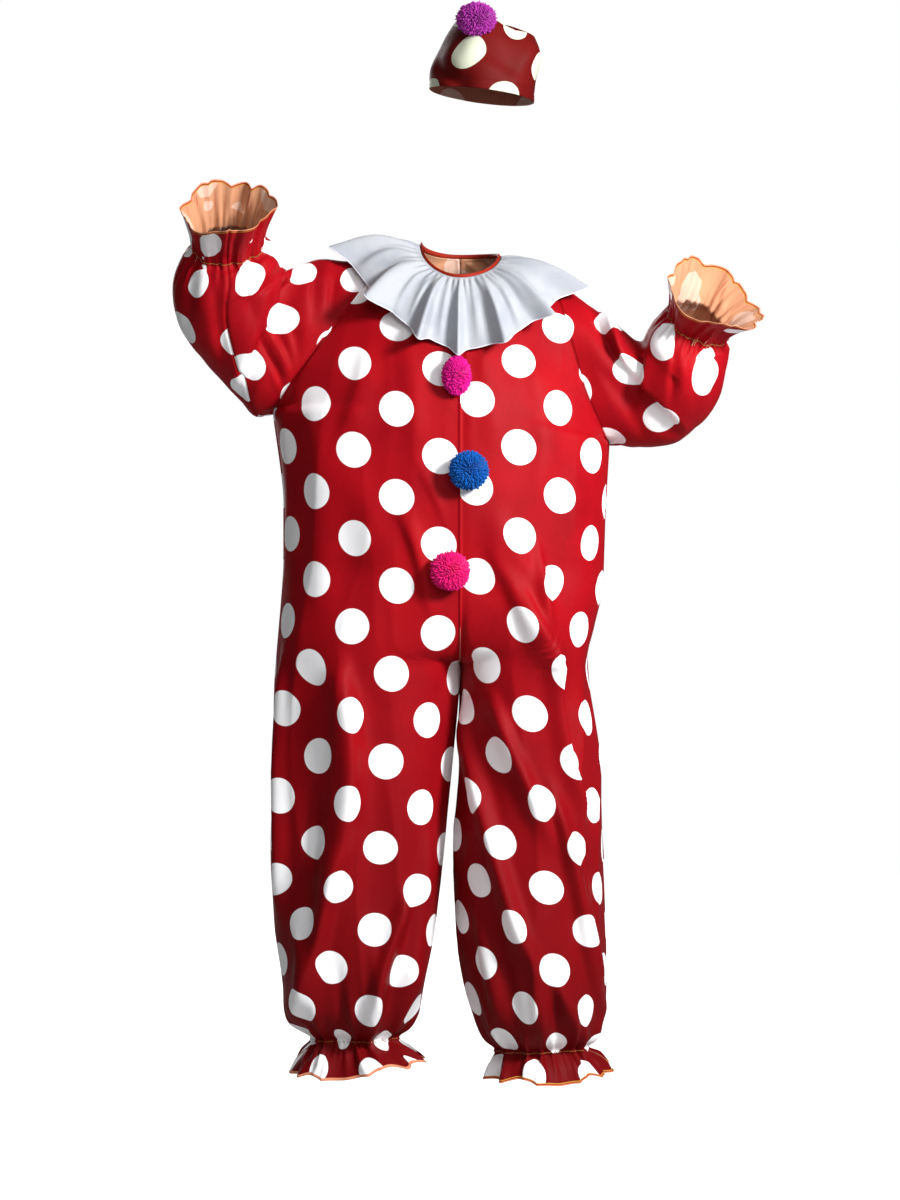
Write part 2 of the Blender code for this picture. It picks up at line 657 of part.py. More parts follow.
def hat_point(column, station):
    """A point of the hat's side, dented more toward its top."""
    last = len(HAT["depth"]) - 1
    base = hat_base(column, station)
    station_inside = min(max(station, STEP), last - STEP)
    dent = HAT_DENT * fade(station, last) * gather(column / HAT_COLUMNS, HAT_DENTS)
    return base + surface_normal(hat_base, column, station_inside, 1.0) * dent


def hat_top_point(column, share):
    """A point of the hat's top: share is 0 at its seam and 1 at its centre."""
    last = len(HAT["depth"]) - 1
    rim = hat_point(column, last)
    centre = sum((hat_point(place, last) for place in range(HAT_COLUMNS)), Vector()) / HAT_COLUMNS
    normal = hat_lid_normal()
    return rim.lerp(centre, share) + normal * HAT_DOME * math.sin(math.pi / 2 * share)


def hat_lid_normal():
    """The direction that the hat's top faces."""
    last = len(HAT["depth"]) - 1
    across = ring_point(HAT, last, 0.0) - ring_point(HAT, last, 0.5)
    deep = ring_point(HAT, last, 0.75) - ring_point(HAT, last, 0.25)
    return across.cross(deep).normalized()


def hat_seam_normal(column):
    """The mitre between the hat's side and its top."""
    last = len(HAT["depth"]) - 1
    side = surface_normal(hat_point, column, last - STEP, 1.0)
    return (side + hat_lid_normal()).normalized()


def place_hat_side(column, row, layer):
    station = HAT_STATIONS[row]
    last = len(HAT["depth"]) - 1
    point = hat_point(column, station)
    if station == last:
        normal = hat_seam_normal(column)
        downward = (hat_lid_normal() - normal * normal.dot(hat_lid_normal())).normalized()
        point -= downward * SEAM_GAP / 2
    else:
        normal = surface_normal(hat_point, column, max(station, STEP), 1.0)
    return point + normal * CLOTH * (layer - 0.5)


def place_hat_top(column, row, layer):
    share = row / HAT_TOP_ROWS
    point = hat_top_point(column, share)
    normal = hat_lid_normal()
    if row == 0:
        seam = hat_seam_normal(column)
        upward = (normal - seam * seam.dot(normal)).normalized()
        point += upward * SEAM_GAP / 2
        normal = seam
    return point + normal * CLOTH * (layer - 0.5)


SHEET_THICKNESS = 0.5  # of a sheet whose corners aren't in place yet


def sheet(columns, rows, refined, rolled):
    """A sheet one layer thick, flat or rolled into a tube, with finer columns in its refined rows."""
    mesh = bmesh.new()
    bmesh.ops.create_grid(mesh, x_segments=columns, y_segments=rows, size=0.5)
    for vert in mesh.verts:
        vert.co = ((vert.co.x + 0.5) * columns, (vert.co.y + 0.5) * rows, 0.0)
    level = []
    for edge in mesh.edges:
        row = round(edge.verts[0].co.y)
        if row == round(edge.verts[1].co.y) and refined[0] <= row <= refined[1]:
            level.append(edge)
    bmesh.ops.subdivide_edges(mesh, edges=level, cuts=REFINE_CUTS, use_grid_fill=True)
    if rolled:
        for vert in mesh.verts:
            angle = 2 * math.pi * vert.co.x / columns
            vert.co = (math.cos(angle), math.sin(angle), vert.co.y)
        bmesh.ops.remove_doubles(mesh, verts=mesh.verts[:], dist=0.0001)
    bmesh.ops.recalc_face_normals(mesh, faces=mesh.faces[:])
    bmesh.ops.solidify(mesh, geom=mesh.faces[:], thickness=SHEET_THICKNESS)
    return mesh


def sheet_places(mesh, columns, rolled):
    """Each corner of a sheet as (vertex, column, row, layer), with layer 1 on its outer face."""
    for vert in mesh.verts:
        x, y, z = vert.co
        if rolled:
            turn = math.atan2(y, x) / (2 * math.pi) % 1.0
            outer = math.hypot(x, y) > 1.0 - SHEET_THICKNESS / 2
            yield vert, round(turn * columns, 4) % columns, round(z), int(outer)
        else:
            yield vert, round(x, 4), round(y), int(abs(z) < SHEET_THICKNESS / 2)


def cloth_piece(name, columns, rows, place, colour, rolled=False, refined=(1, 0)):
    """Builds a piece of cloth: a function of column, row and layer puts every corner in place."""
    mesh = sheet(columns, rows, refined, rolled)
    for vert, column, row, layer in list(sheet_places(mesh, columns, rolled)):
        vert.co = place(column, row, layer)
    bmesh.ops.remove_doubles(mesh, verts=mesh.verts[:], dist=0.00001)
    bare_edges = [edge for edge in mesh.edges if not edge.link_faces]
    bmesh.ops.delete(mesh, geom=bare_edges, context="EDGES")
    return finish(name, mesh, colour, CLOTH_ROUGHNESS)


def finish(name, mesh, colour, roughness):
    """Turns a bmesh into a smooth-shaded object with its own material."""
    bmesh.ops.triangulate(mesh, faces=[face for face in mesh.faces if len(face.verts) > 4])
    bmesh.ops.recalc_face_normals(mesh, faces=mesh.faces[:])
    data = bpy.data.meshes.new(name)
    mesh.to_mesh(data)
    mesh.free()
    data.shade_smooth()
    thing = bpy.data.objects.new(name, data)
    costume.objects.link(thing)
    material = bpy.data.materials.new(name)
    material.use_nodes = True
    shader = material.node_tree.nodes["Principled BSDF"]
    shader.inputs["Base Color"].default_value = colour
    shader.inputs["Roughness"].default_value = roughness
    shader.inputs["Metallic"].default_value = 0.0
    data.materials.append(material)
    return thing


def station_at(height):
    """The station where the centre front seam passes a height, found by halving."""
    low, high = float(CROTCH), float(NECK)
    while high - low > STEP:
        middle = (low + high) / 2
        if body_base("left", "front", 0.0, middle).z < height:
            low = middle
        else:
            high = middle
    return low


def front_seat(x, z):
    """Where a pom-pom sits on the front, and the direction that it faces."""
    side = "left" if x > 0.0 else "right"
    station = station_at(z)
    u = 0.0
    while abs(body_point(side, "front", u, station).x) < abs(x):
        u += STEP
    u = max(u, STEP)
    return body_point(side, "front", u, station), body_normal(side, "front", u, station)


def hat_seat(x, z):
    """Where the hat's pom-pom sits on the front of its side, and the direction that it faces."""
    columns = range(HAT_COLUMNS * SEAT_STEPS // 2)
    stations = range((len(HAT["depth"]) - 1) * SEAT_STEPS)
    places = [(column / SEAT_STEPS, station / SEAT_STEPS) for column in columns for station in stations]

    def away(place):
        point = hat_point(*place)
        return math.hypot(point.x - x, point.z - z)

    nearest = min(places, key=away)
    normal = surface_normal(hat_point, nearest[0], nearest[1], 1.0, HAT_REACH)
    return hat_point(*nearest) - normal * HAT_FLAT, normal


def pompom(name, seat, facing):
    """A yarn pom-pom: four-sided locks that stand apart on a round backing with a flat back."""
    size = dict(zip(POMPOM_COLUMNS, POMPOMS[name]))
    mesh = bmesh.new()
    bmesh.ops.create_cube(mesh, size=2.0)
    bmesh.ops.subdivide_edges(mesh, edges=mesh.edges[:], cuts=2, use_grid_fill=True)
    for vert in mesh.verts:
        vert.co = vert.co.normalized() * BACKING_SHARE
        vert.co.z = max(vert.co.z, FLAT_BACK)
    mesh.normal_update()
    roots = [face for face in mesh.faces if face.normal.z > BACK_FACING]
    lock = 1.0 - BACKING_SHARE
    bmesh.ops.inset_individual(
        mesh, faces=roots, thickness=LOCK_INSET, depth=lock, use_even_offset=False
    )
    for number, face in enumerate(roots):
        uneven = 1.0 + LOCK_UNEVENNESS * math.sin(LOCK_TURN * number)
        for vert in face.verts:
            vert.co *= uneven
            vert.co.z = max(vert.co.z, FLAT_BACK)
    turned = facing.to_track_quat("Z", "Y").to_matrix().to_4x4()
    half_sizes = (size["half_width"], size["half_height"], size["half_depth"])
    bmesh.ops.scale(mesh, vec=half_sizes, verts=mesh.verts[:])
    away = CLOTH / 2 + SEAM_GAP - FLAT_BACK * size["half_depth"]
    placed = Matrix.Translation(seat + facing * away) @ turned
    bmesh.ops.transform(mesh, matrix=placed, verts=mesh.verts[:])
    return finish(name, mesh, POMPOM_COLOURS[name], YARN_ROUGHNESS)


for old in list(bpy.data.objects):
    bpy.data.objects.remove(old, do_unlink=True)

costume = bpy.data.collections.new("clown_costume")
bpy.context.scene.collection.children.link(costume)

body_rows = len(BODY_STATIONS) - 1
sleeve_rows = len(SLEEVE_STATIONS) - 1
ankle_rows = (0, BODY_STATIONS.index(float(GATHERED_TO)))
cuff_rows = (SLEEVE_STATIONS.index(float(CUFF_GATHERED_FROM)), sleeve_rows)
for side in SIDE_SIGN:
    for face in FACE_SIGN:
        place = place_body(side, face)
        cloth_piece(face + "_" + side, BODY_COLUMNS, body_rows, place, RED, refined=ankle_rows)
    place = place_sleeve(side)
    name = "sleeve_" + side
    cloth_piece(name, SLEEVE_COLUMNS, sleeve_rows, place, RED, rolled=True, refined=cuff_rows)

cloth_piece("collar", COLLAR_COLUMNS, COLLAR_ROWS, place_collar, WHITE, rolled=True)
cloth_piece("neck_binding", NECKLINE_COLUMNS, 1, place_binding, BINDING_RED, rolled=True)
cloth_piece("hat_side", HAT_COLUMNS, len(HAT_STATIONS) - 1, place_hat_side, DARK_RED, rolled=True)
cloth_piece("hat_top", HAT_COLUMNS, HAT_TOP_ROWS, place_hat_top, DARK_RED, rolled=True)

for name in ("pompom_top", "pompom_middle", "pompom_bottom"):
    seat, facing = front_seat(*POMPOMS[name][:2])
    pompom(name, seat, facing)
seat, facing = hat_seat(*POMPOMS["pompom_hat"][:2])
pompom("pompom_hat", seat, facing)
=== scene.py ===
import math

import bmesh
import bpy
import numpy as np
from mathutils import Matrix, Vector, noise


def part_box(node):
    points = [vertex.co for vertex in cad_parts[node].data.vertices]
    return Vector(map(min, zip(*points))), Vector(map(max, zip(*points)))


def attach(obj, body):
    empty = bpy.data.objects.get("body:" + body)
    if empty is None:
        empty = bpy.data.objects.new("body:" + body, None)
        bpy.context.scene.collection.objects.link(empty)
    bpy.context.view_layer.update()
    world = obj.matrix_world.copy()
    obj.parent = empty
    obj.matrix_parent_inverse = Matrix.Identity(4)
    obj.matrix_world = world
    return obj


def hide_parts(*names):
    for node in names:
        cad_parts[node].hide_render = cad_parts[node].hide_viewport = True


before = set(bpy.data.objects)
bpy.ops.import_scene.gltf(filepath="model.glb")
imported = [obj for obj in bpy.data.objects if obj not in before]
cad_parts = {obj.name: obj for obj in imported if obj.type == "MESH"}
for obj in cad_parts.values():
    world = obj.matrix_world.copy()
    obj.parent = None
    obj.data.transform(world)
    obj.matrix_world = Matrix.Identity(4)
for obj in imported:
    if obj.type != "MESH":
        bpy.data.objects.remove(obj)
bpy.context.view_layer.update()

print("frame loaded")

# Metres, +Z up. The wearer faces -Y and their left is +X. Every sheet is a grid of points, one row a line
# across the cloth and one column a line along it, and each step below moves the whole grid at once.


def tableOf(header, rows):
    return {name: np.array([row[place] for row in rows], float) for place, name in enumerate(header)}


def hermite(start, leaving, end, arriving, t):  # from one value to the next, with the slope at each
    square, cube = t * t, t * t * t
    return (
        start * (2 * cube - 3 * square + 1)
        + leaving * (cube - 2 * square + t)
        + end * (3 * square - 2 * cube)
        + arriving * (cube - square)
    )


def curveThrough(values, at):  # a smooth curve through a table's column that never overshoots its rows
    values = np.asarray(values, float)
    at = np.asarray(at, float)
    steps = np.diff(values)
    slopes = np.empty(len(values))
    slopes[0], slopes[-1] = steps[0], steps[-1]
    product, total = steps[:-1] * steps[1:], steps[:-1] + steps[1:]
    slopes[1:-1] = np.divide(2 * product, total, out=np.zeros_like(total), where=product > 0)
    low = np.clip(np.floor(at), 0, len(values) - 2).astype(int)
    return hermite(values[low], slopes[low], values[low + 1], slopes[low + 1], at - low)


def fade(distance, width):  # 0 at an edge, 1 from width onward
    t = np.clip(np.asarray(distance, float) / width, 0.0, 1.0)
    return t * t * (3.0 - 2.0 * t)


def finely(rowsAfter):  # stations between the rows of a table, so many after each row
    stations = []
    for place, count in enumerate(rowsAfter):
        stations += [place + k / count for k in range(count)]
    return np.array(stations + [float(len(rowsAfter))])


def unit(vectors):
    return vectors / np.maximum(np.linalg.norm(vectors, axis=-1, keepdims=True), 1e-12)


def joined(ring):  # a ring's first column again after its last
    return np.concatenate([ring, ring[:, :1]], axis=1)


def normalsOf(points, sign, closed=False):
    down = np.gradient(points, axis=0)
    if closed:  # the last column is the first one again
        ring = points[:, :-1]
        across = joined(np.roll(ring, -1, axis=1) - np.roll(ring, 1, axis=1))
    else:
        across = np.gradient(points, axis=1)
    return unit(sign * np.cross(across, down))


def gather(turn, waves, uneven=0.28):  # uneven waves round a tube, from -1 to 1
    slow = np.sin(4 * np.pi * turn) + 0.6 * np.sin(12 * np.pi * turn)
    share = 1.0 - uneven * (1.0 + np.sin(6 * np.pi * turn))
    return share * np.cos(2 * np.pi * waves * (turn + 0.006 * slow))


def streaks(points, scale, seed, upright=0.25):  # soft noise that runs along the cloth, from -1 to 1
    flat = points.reshape(-1, 3)
    stretch = np.array([scale, scale, scale * upright])
    values = [noise.noise(Vector(point) + Vector((seed, 3.1 * seed, -seed))) for point in flat * stretch]
    return np.array(values).reshape(points.shape[:-1])


def creases(points, scale, seed, upright=0.25):  # noise drawn out along the cloth, with narrow troughs
    return -((1.0 - np.abs(streaks(points, scale, seed, upright))) ** 5)


foldColumns = ("xTop", "zTop", "xLow", "zLow", "bow", "left", "right", "height")


def foldHeight(points, folds, endFade=0.05):  # creases drawn in the front view: a bow bends one sideways
    height = np.zeros(points.shape[:-1])
    for row in folds:
        fold = dict(zip(foldColumns, row))
        alongX, alongZ = fold["xLow"] - fold["xTop"], fold["zLow"] - fold["zTop"]
        length = math.hypot(alongX, alongZ)
        fromX, fromZ = points[..., 0] - fold["xTop"], points[..., 2] - fold["zTop"]
        along = (fromX * alongX + fromZ * alongZ) / length
        share = np.clip(along / length, 0.0, 1.0)
        across = (fromZ * alongX - fromX * alongZ) / length - fold["bow"] * 4 * share * (1 - share)
        width = np.where(across < 0, fold["left"], fold["right"])
        ends = fade(along + endFade, 2 * endFade) * fade(length + endFade - along, 2 * endFade)
        height += fold["height"] * ends * np.exp(-((across / width) ** 2))
    return height


def lengthsAlong(line):  # how far along a line each of its points lies
    return np.concatenate([[0.0], np.cumsum(np.linalg.norm(np.diff(line, axis=0), axis=1))])


def arcLengths(points):  # how far along its row each point lies
    steps = np.linalg.norm(np.diff(points, axis=1), axis=2)
    return np.concatenate([np.zeros((len(points), 1)), np.cumsum(steps, axis=1)], axis=1)


def gridOf(across, down):
    return np.stack(np.meshgrid(across, down), axis=2)


def clothMesh(name, points, printUv, makeUv, closed=False):
    rows, columns = points.shape[:2]
    build = bmesh.new()
    bmesh.ops.create_grid(build, x_segments=columns - 1, y_segments=rows - 1, size=0.5)
    data = bpy.data.meshes.new(name)
    build.to_mesh(data)
    build.free()
    data.vertices.foreach_set("co", points.reshape(-1))
    corners = np.empty(len(data.loops), int)
    data.loops.foreach_get("vertex_index", corners)
    for layer, values in (("print", printUv), ("make", makeUv)):
        uv = data.uv_layers.new(name=layer)
        uv.data.foreach_set("uv", values.reshape(-1, 2)[corners].reshape(-1))
    build = bmesh.new()
    build.from_mesh(data)
    if closed:
        bmesh.ops.remove_doubles(build, verts=build.verts[:], dist=0.00002)
    build.to_mesh(data)
    build.free()
    data.shade_smooth()
    return data


def addPiece(name, data, materials, nodes=()):
    piece = bpy.data.objects.new(name, data)
    bpy.context.scene.collection.objects.link(piece)
    for material in materials:
        data.materials.append(material)
    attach(piece, "root")
    if nodes:
        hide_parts(*nodes)
    return piece


# A piece of cloth: second material is the wrong side, third the cut edge.
def addCloth(node, grids, materials, wall, closed=False, offset=-1.0):
    piece = addPiece(node + "_cloth", clothMesh(node + "_cloth", *grids, closed), materials, (node,))
    solid = piece.modifiers.new("wall", "SOLIDIFY")
    solid.thickness = wall
    solid.offset = offset
    solid.use_even_offset = False
    solid.material_offset = 1
    solid.material_offset_rim = 2


# Round strands along lines of points.
def meshOfLines(name, lines, radius, resolution, closed=False, taper=None):
    curve = bpy.data.curves.new(name, "CURVE")
    curve.dimensions = "3D"
    curve.bevel_depth = radius
    curve.bevel_resolution = resolution
    curve.use_fill_caps = not closed
    for places in lines:
        line = curve.splines.new("POLY")
        line.points.add(len(places) - 1)
        spots = np.concatenate([places, np.ones((len(places), 1))], axis=1)
        line.points.foreach_set("co", spots.reshape(-1))
        if taper:
            line.points.foreach_set("radius", taper)
        line.use_cyclic_u = closed
    source = bpy.data.objects.new(name + "_line", curve)
    data = bpy.data.meshes.new_from_object(source)
    bpy.data.objects.remove(source)
    bpy.data.curves.remove(curve)
    return data


def closedThread(name, points, radius, material):
    data = meshOfLines(name, [points], radius, 1, closed=True)
    data.shade_smooth()
    addPiece(name, data, (material,))


def evenly(ring, count):  # that many points, evenly spaced round a closed ring of points
    ring = np.concatenate([ring, ring[:1]])
    lengths = lengthsAlong(ring)
    at = lengths[-1] * np.arange(count) / count
    return np.stack([np.interp(at, lengths, ring[:, k]) for k in range(3)], axis=1)


def proud(rings, height):  # rings of points a little further out from their middle
    middle = rings.mean(axis=(0, 1))
    return rings + unit(rings - middle) * height


def zigzag(rings, count):  # a line that runs back and forth between two rings of points
    first, second = (evenly(ring, 2 * count) for ring in rings)
    first[1::2] = second[1::2]
    return first


smooth, colours = {"interpolation_type": "SMOOTHSTEP"}, {"data_type": "RGBA"}
times, timesPlus, less = ({"operation": name} for name in ("MULTIPLY", "MULTIPLY_ADD", "SUBTRACT"))


def toLinear(hexColour):
    channels = [int(hexColour[k:k + 2], 16) / 255 for k in (1, 3, 5)]
    return [c / 12.92 if c <= 0.04045 else ((c + 0.055) / 1.055) ** 2.4 for c in channels] + [1.0]


def addNode(tree, kind, settings=(), **links):  # a socket is given by its name, or by its number as in _0
    node = tree.nodes.new("ShaderNode" + kind)
    for name, value in dict(settings).items():
        setattr(node, name, value)
    for name, value in links.items():
        socket = node.inputs[int(name[1:]) if name[0] == "_" else name.replace("_", " ")]
        if isinstance(value, bpy.types.NodeSocket):
            tree.links.new(value, socket)
        else:
            socket.default_value = toLinear(value) if isinstance(value, str) else value
    return node


def newMaterial(name, roughness, specular, sheen=0.0):
    material = bpy.data.materials.new(name)
    material.use_nodes = True
    tree = material.node_tree
    shader = tree.nodes["Principled BSDF"]
    shader.inputs["Roughness"].default_value = roughness
    shader.inputs["Specular IOR Level"].default_value = specular
    shader.inputs["Sheen Weight"].default_value = sheen
    return material, tree, shader


def addSurface(tree, shader, colour, relief=None, strength=0.0, depth=0.0):  # relief is a height for the bump
    tree.links.new(colour, shader.inputs["Base Color"])
    if relief is not None:
        bump = addNode(tree, "Bump", Strength=strength, Distance=depth, Height=relief)
        tree.links.new(bump.outputs[0], shader.inputs["Normal"])


waveScale = math.pi / 10  # makes a wave texture's bands one unit apart


def weave(tree, uv, pitch):  # plain weave: threads over and under, as a height
    threads = []
    for way in ("X", "Y"):
        bands = {"wave_type": "BANDS", "bands_direction": way}
        wave = addNode(tree, "TexWave", bands, Vector=uv, Scale=waveScale / pitch, Distortion=0.6)
        threads.append(wave.outputs["Fac"])
    return addNode(tree, "Math", times, _0=threads[0], _1=threads[1]).outputs[0]


dots = {
    "diameter": 0.0575,
    "apart": 0.1005,  # from a dot to its four neighbours, which stand diagonally
    "edge": 0.0006,  # how soft the printed edge is
}
cloth = {
    "red": "#a20914",
    "shade": "#8a0612",
    "ankle": "#6a050a",  # painted shade: the cloth is painted a deeper red toward the ankles, where less light reaches the legs
    "paintedShadeHeights": (-0.50, -1.30),  # from this height down to this one
    "dot": "#f7f7f9",
    "inside": "#c8906c",
    # painted shade of small pleats on the wrong side
    "insidePleatShade": "#b4543c",
    "trim": "#d98a68",
    "gold": "#c08a34",
    "roughness": 0.56,
}


def dotMask(tree, uv):  # 1 in a dot and 0 between them
    diagonal, scale = (0, 0, math.radians(45)), [1 / dots["apart"]] * 3
    turned = addNode(tree, "Mapping", Vector=uv, Rotation=diagonal, Scale=scale).outputs[0]
    flat = {"voronoi_dimensions": "2D"}
    cells = addNode(tree, "TexVoronoi", flat, Vector=turned, Scale=1.0, Randomness=0.0)
    reach = addNode(tree, "Math", times, _0=cells.outputs["Distance"], _1=dots["apart"]).outputs[0]
    inner, outer = dots["diameter"] / 2 - dots["edge"], dots["diameter"] / 2 + dots["edge"]
    edge = addNode(tree, "MapRange", smooth, Value=reach, From_Min=inner, From_Max=outer).outputs[0]
    return addNode(tree, "Math", less, _0=1.0, _1=edge).outputs[0]


def addTrim(tree, make, colour, trim):  # bands along the hem: how far from the edge each reaches, its colour
    fromHem = addNode(tree, "SeparateXYZ", Vector=make).outputs["Y"]
    for reach, hexColour in trim:
        low, high = reach - dots["edge"] / 2, reach + dots["edge"] / 2
        past = addNode(tree, "MapRange", smooth, Value=fromHem, From_Min=low, From_Max=high).outputs[0]
        colour = addNode(tree, "Mix", colours, _0=past, _6=hexColour, _7=colour).outputs[2]
    return colour


# Printed polyester satin: smooth and slightly glossy, with fine slubs and an uneven dye, and painted shade
# that deepens its red toward the ankles.
def printedCloth(name, red, shade, dot, trim=()):
    material, tree, shader = newMaterial(name, cloth["roughness"], specular=0.07)
    uv = addNode(tree, "UVMap", {"uv_map": "print"}).outputs[0]
    make = addNode(tree, "UVMap", {"uv_map": "make"}).outputs[0]
    patches = addNode(tree, "TexNoise", Vector=uv, Scale=9.0, Detail=3.0).outputs["Fac"]
    slubs = addNode(tree, "Mapping", Vector=uv, Scale=(900.0, 60.0, 1.0)).outputs[0]
    slubs = addNode(tree, "TexNoise", Vector=slubs, Scale=1.0, Detail=2.0).outputs["Fac"]
    uneven = addNode(tree, "Math", timesPlus, _0=slubs, _1=0.5, _2=patches).outputs[0]
    uneven = addNode(tree, "MapRange", smooth, Value=uneven, From_Min=0.45, From_Max=1.05).outputs[0]
    colour = addNode(tree, "Mix", colours, _0=uneven, _6=red, _7=shade).outputs[2]
    # painted shade: from the first height down to the second the red is mixed toward the ankle colour, for
    # the light falling off down the legs
    place = addNode(tree, "TexCoord").outputs["Object"]
    height = addNode(tree, "SeparateXYZ", Vector=place).outputs["Z"]
    top, bottom = cloth["paintedShadeHeights"]
    deep = addNode(tree, "MapRange", Value=height, From_Min=top, From_Max=bottom).outputs[0]
    colour = addNode(tree, "Mix", colours, _0=deep, _6=colour, _7=cloth["ankle"]).outputs[2]
    colour = addNode(tree, "Mix", colours, _0=dotMask(tree, uv), _6=colour, _7=dot).outputs[2]
    threads = weave(tree, uv, 0.0011)  # real threads are 0.3 mm apart, drawn coarse enough to show
    height = addNode(tree, "Math", timesPlus, _0=threads, _1=0.6, _2=slubs).outputs[0]
    addSurface(tree, shader, addTrim(tree, make, colour, trim), height, strength=0.16, depth=0.0004)
    return material


# The wrong side of the same satin: the dye comes half through, so it is peach, with fine red streaks painted
# on as shade of small pleats.
def wrongSide(name, ground, pleatShade, trim=()):
    material, tree, shader = newMaterial(name, 0.75, specular=0.2, sheen=0.1)
    uv = addNode(tree, "UVMap", {"uv_map": "print"}).outputs[0]
    make = addNode(tree, "UVMap", {"uv_map": "make"}).outputs[0]
    lines = addNode(tree, "Mapping", Vector=make, Scale=(420.0, 16.0, 1.0)).outputs[0]
    lines = addNode(tree, "TexNoise", Vector=lines, Scale=1.0, Detail=2.0).outputs["Fac"]
    # painted shade: the second colour follows these noise bands, standing in for shade in small pleats; the
    # same bands make the bump
    share = addNode(tree, "MapRange", smooth, Value=lines, From_Min=0.56, From_Max=0.74).outputs[0]
    colour = addNode(tree, "Mix", colours, _0=share, _6=ground, _7=pleatShade).outputs[2]
    faint = addNode(tree, "Math", times, _0=dotMask(tree, uv), _1=0.45).outputs[0]
    colour = addNode(tree, "Mix", colours, _0=faint, _6=colour, _7="#ecd6ca").outputs[2]
    addSurface(tree, shader, addTrim(tree, make, colour, trim), lines, strength=0.2, depth=0.0005)
    return material


# Overlocked edge: polyester thread wound over the cut edge, 2 mm from loop to loop, with painted shade
# between the loops.
def threadEdge(name, colour, grooveShade):
    material, tree, shader = newMaterial(name, 0.6, specular=0.3, sheen=0.2)
    make = addNode(tree, "UVMap", {"uv_map": "make"}).outputs[0]
    bands = {"bands_direction": "X"}
    wave = addNode(tree, "TexWave", bands, Vector=make, Scale=waveScale / 0.002, Distortion=0.5)
    loops = wave.outputs["Fac"]
    # painted shade: the second colour lies between the loops
    mixed = addNode(tree, "Mix", colours, _0=loops, _6=grooveShade, _7=colour)
    addSurface(tree, shader, mixed.outputs[2], loops, strength=0.4, depth=0.0005)
    return material


# Plain white woven cotton: thin and matt, a little blue in its folds.
def plainWoven(name, colour, shade):
    material, tree, shader = newMaterial(name, 0.78, specular=0.2, sheen=0.1)
    uv = addNode(tree, "UVMap", {"uv_map": "print"}).outputs[0]
    patches = addNode(tree, "TexNoise", Vector=uv, Scale=14.0, Detail=4.0).outputs["Fac"]
    tone = addNode(tree, "MapRange", smooth, Value=patches, From_Min=0.35, From_Max=0.7).outputs[0]
    mixed = addNode(tree, "Mix", colours, _0=tone, _6=colour, _7=shade)
    addSurface(tree, shader, mixed.outputs[2], weave(tree, uv, 0.0012), strength=0.2, depth=0.0004)
    return material


# Cut acrylic yarn: matt and fluffy, with lighter tips.
def cutYarn(name, colour, tip):
    material, tree, shader = newMaterial(name, 0.85, specular=0.12, sheen=0.08)
    place = addNode(tree, "TexCoord").outputs["Object"]
    tufts = addNode(tree, "TexNoise", Vector=place, Scale=260.0, Detail=3.0).outputs["Fac"]
    share = addNode(tree, "MapRange", smooth, Value=tufts, From_Min=0.45, From_Max=0.75).outputs[0]
    mixed = addNode(tree, "Mix", colours, _0=share, _6=colour, _7=tip)
    addSurface(tree, shader, mixed.outputs[2])
    return material


# Twisted polyester thread: slightly shiny, its plies 0.8 mm apart, with painted shade between them.
def sewingThread(name, colour, grooveShade):
    material, tree, shader = newMaterial(name, 0.5, specular=0.4, sheen=0.2)
    place = addNode(tree, "TexCoord").outputs["Object"]
    bands = {"bands_direction": "DIAGONAL"}
    plies = addNode(tree, "TexWave", bands, Vector=place, Scale=waveScale / 0.0008).outputs["Fac"]
    # painted shade: the second colour lies between the plies
    mixed = addNode(tree, "Mix", colours, _0=plies, _6=grooveShade, _7=colour)
    addSurface(tree, shader, mixed.outputs[2])
    return material


stripes = ((0.0056, cloth["gold"]), (0.0038, cloth["shade"]), (0.0020, cloth["trim"]))
redPrint = printedCloth("printedRedSatin", cloth["red"], cloth["shade"], cloth["dot"], stripes)
peachHem = ((0.0048, cloth["trim"]),)
redPeach = printedCloth("printedRedSatinPeachHem", cloth["red"], cloth["shade"], cloth["dot"], peachHem)
redInside = wrongSide("wrongSideOfRedSatin", cloth["inside"], cloth["insidePleatShade"], stripes)
# the second colours of this edge and thread are painted shade between loops and plies
peachEdge = threadEdge("overlockedPeachEdge", "#d99a6c", "#b0604c")
goldThread = sewingThread("goldSewingThread", cloth["gold"], "#8a5a20")
hatPrint = printedCloth("printedDarkRedSatin", "#68100e", "#580b0b", "#ccd1ba")
# the hat's wrong side gets the same painted pleat shade in its second colour
hatInside = wrongSide("wrongSideOfDarkRedSatin", "#a0604e", "#7c3228")
whiteCloth = plainWoven("plainWhiteCotton", "#acaeb3", "#9da1aa")
# the second colours here are painted shade between loops and plies
whiteEdge = threadEdge("overlockedWhiteEdge", "#eef1f6", "#ccd2e0")
whiteThread = sewingThread("whiteSewingThread", "#eceff6", "#c8cedc")
bindingTape = printedCloth("redBiasTape", "#94281a", "#7c2014", "#94281a")
yarns = {
    "pompom_top": ("magenta_yarn", cutYarn("cutMagentaYarn", "#d80a8c", "#ec1ca0")),
    "pompom_middle": ("blue_yarn", cutYarn("cutBlueYarn", "#0458ac", "#1070cc")),
    "pompom_bottom": ("pink_yarn", cutYarn("cutPinkYarn", "#e80c78", "#f42c8c")),
    "pompom_hat": ("purple_yarn", cutYarn("cutPurpleYarn", "#a62c9c", "#c044b8")),
}
print("materials made")

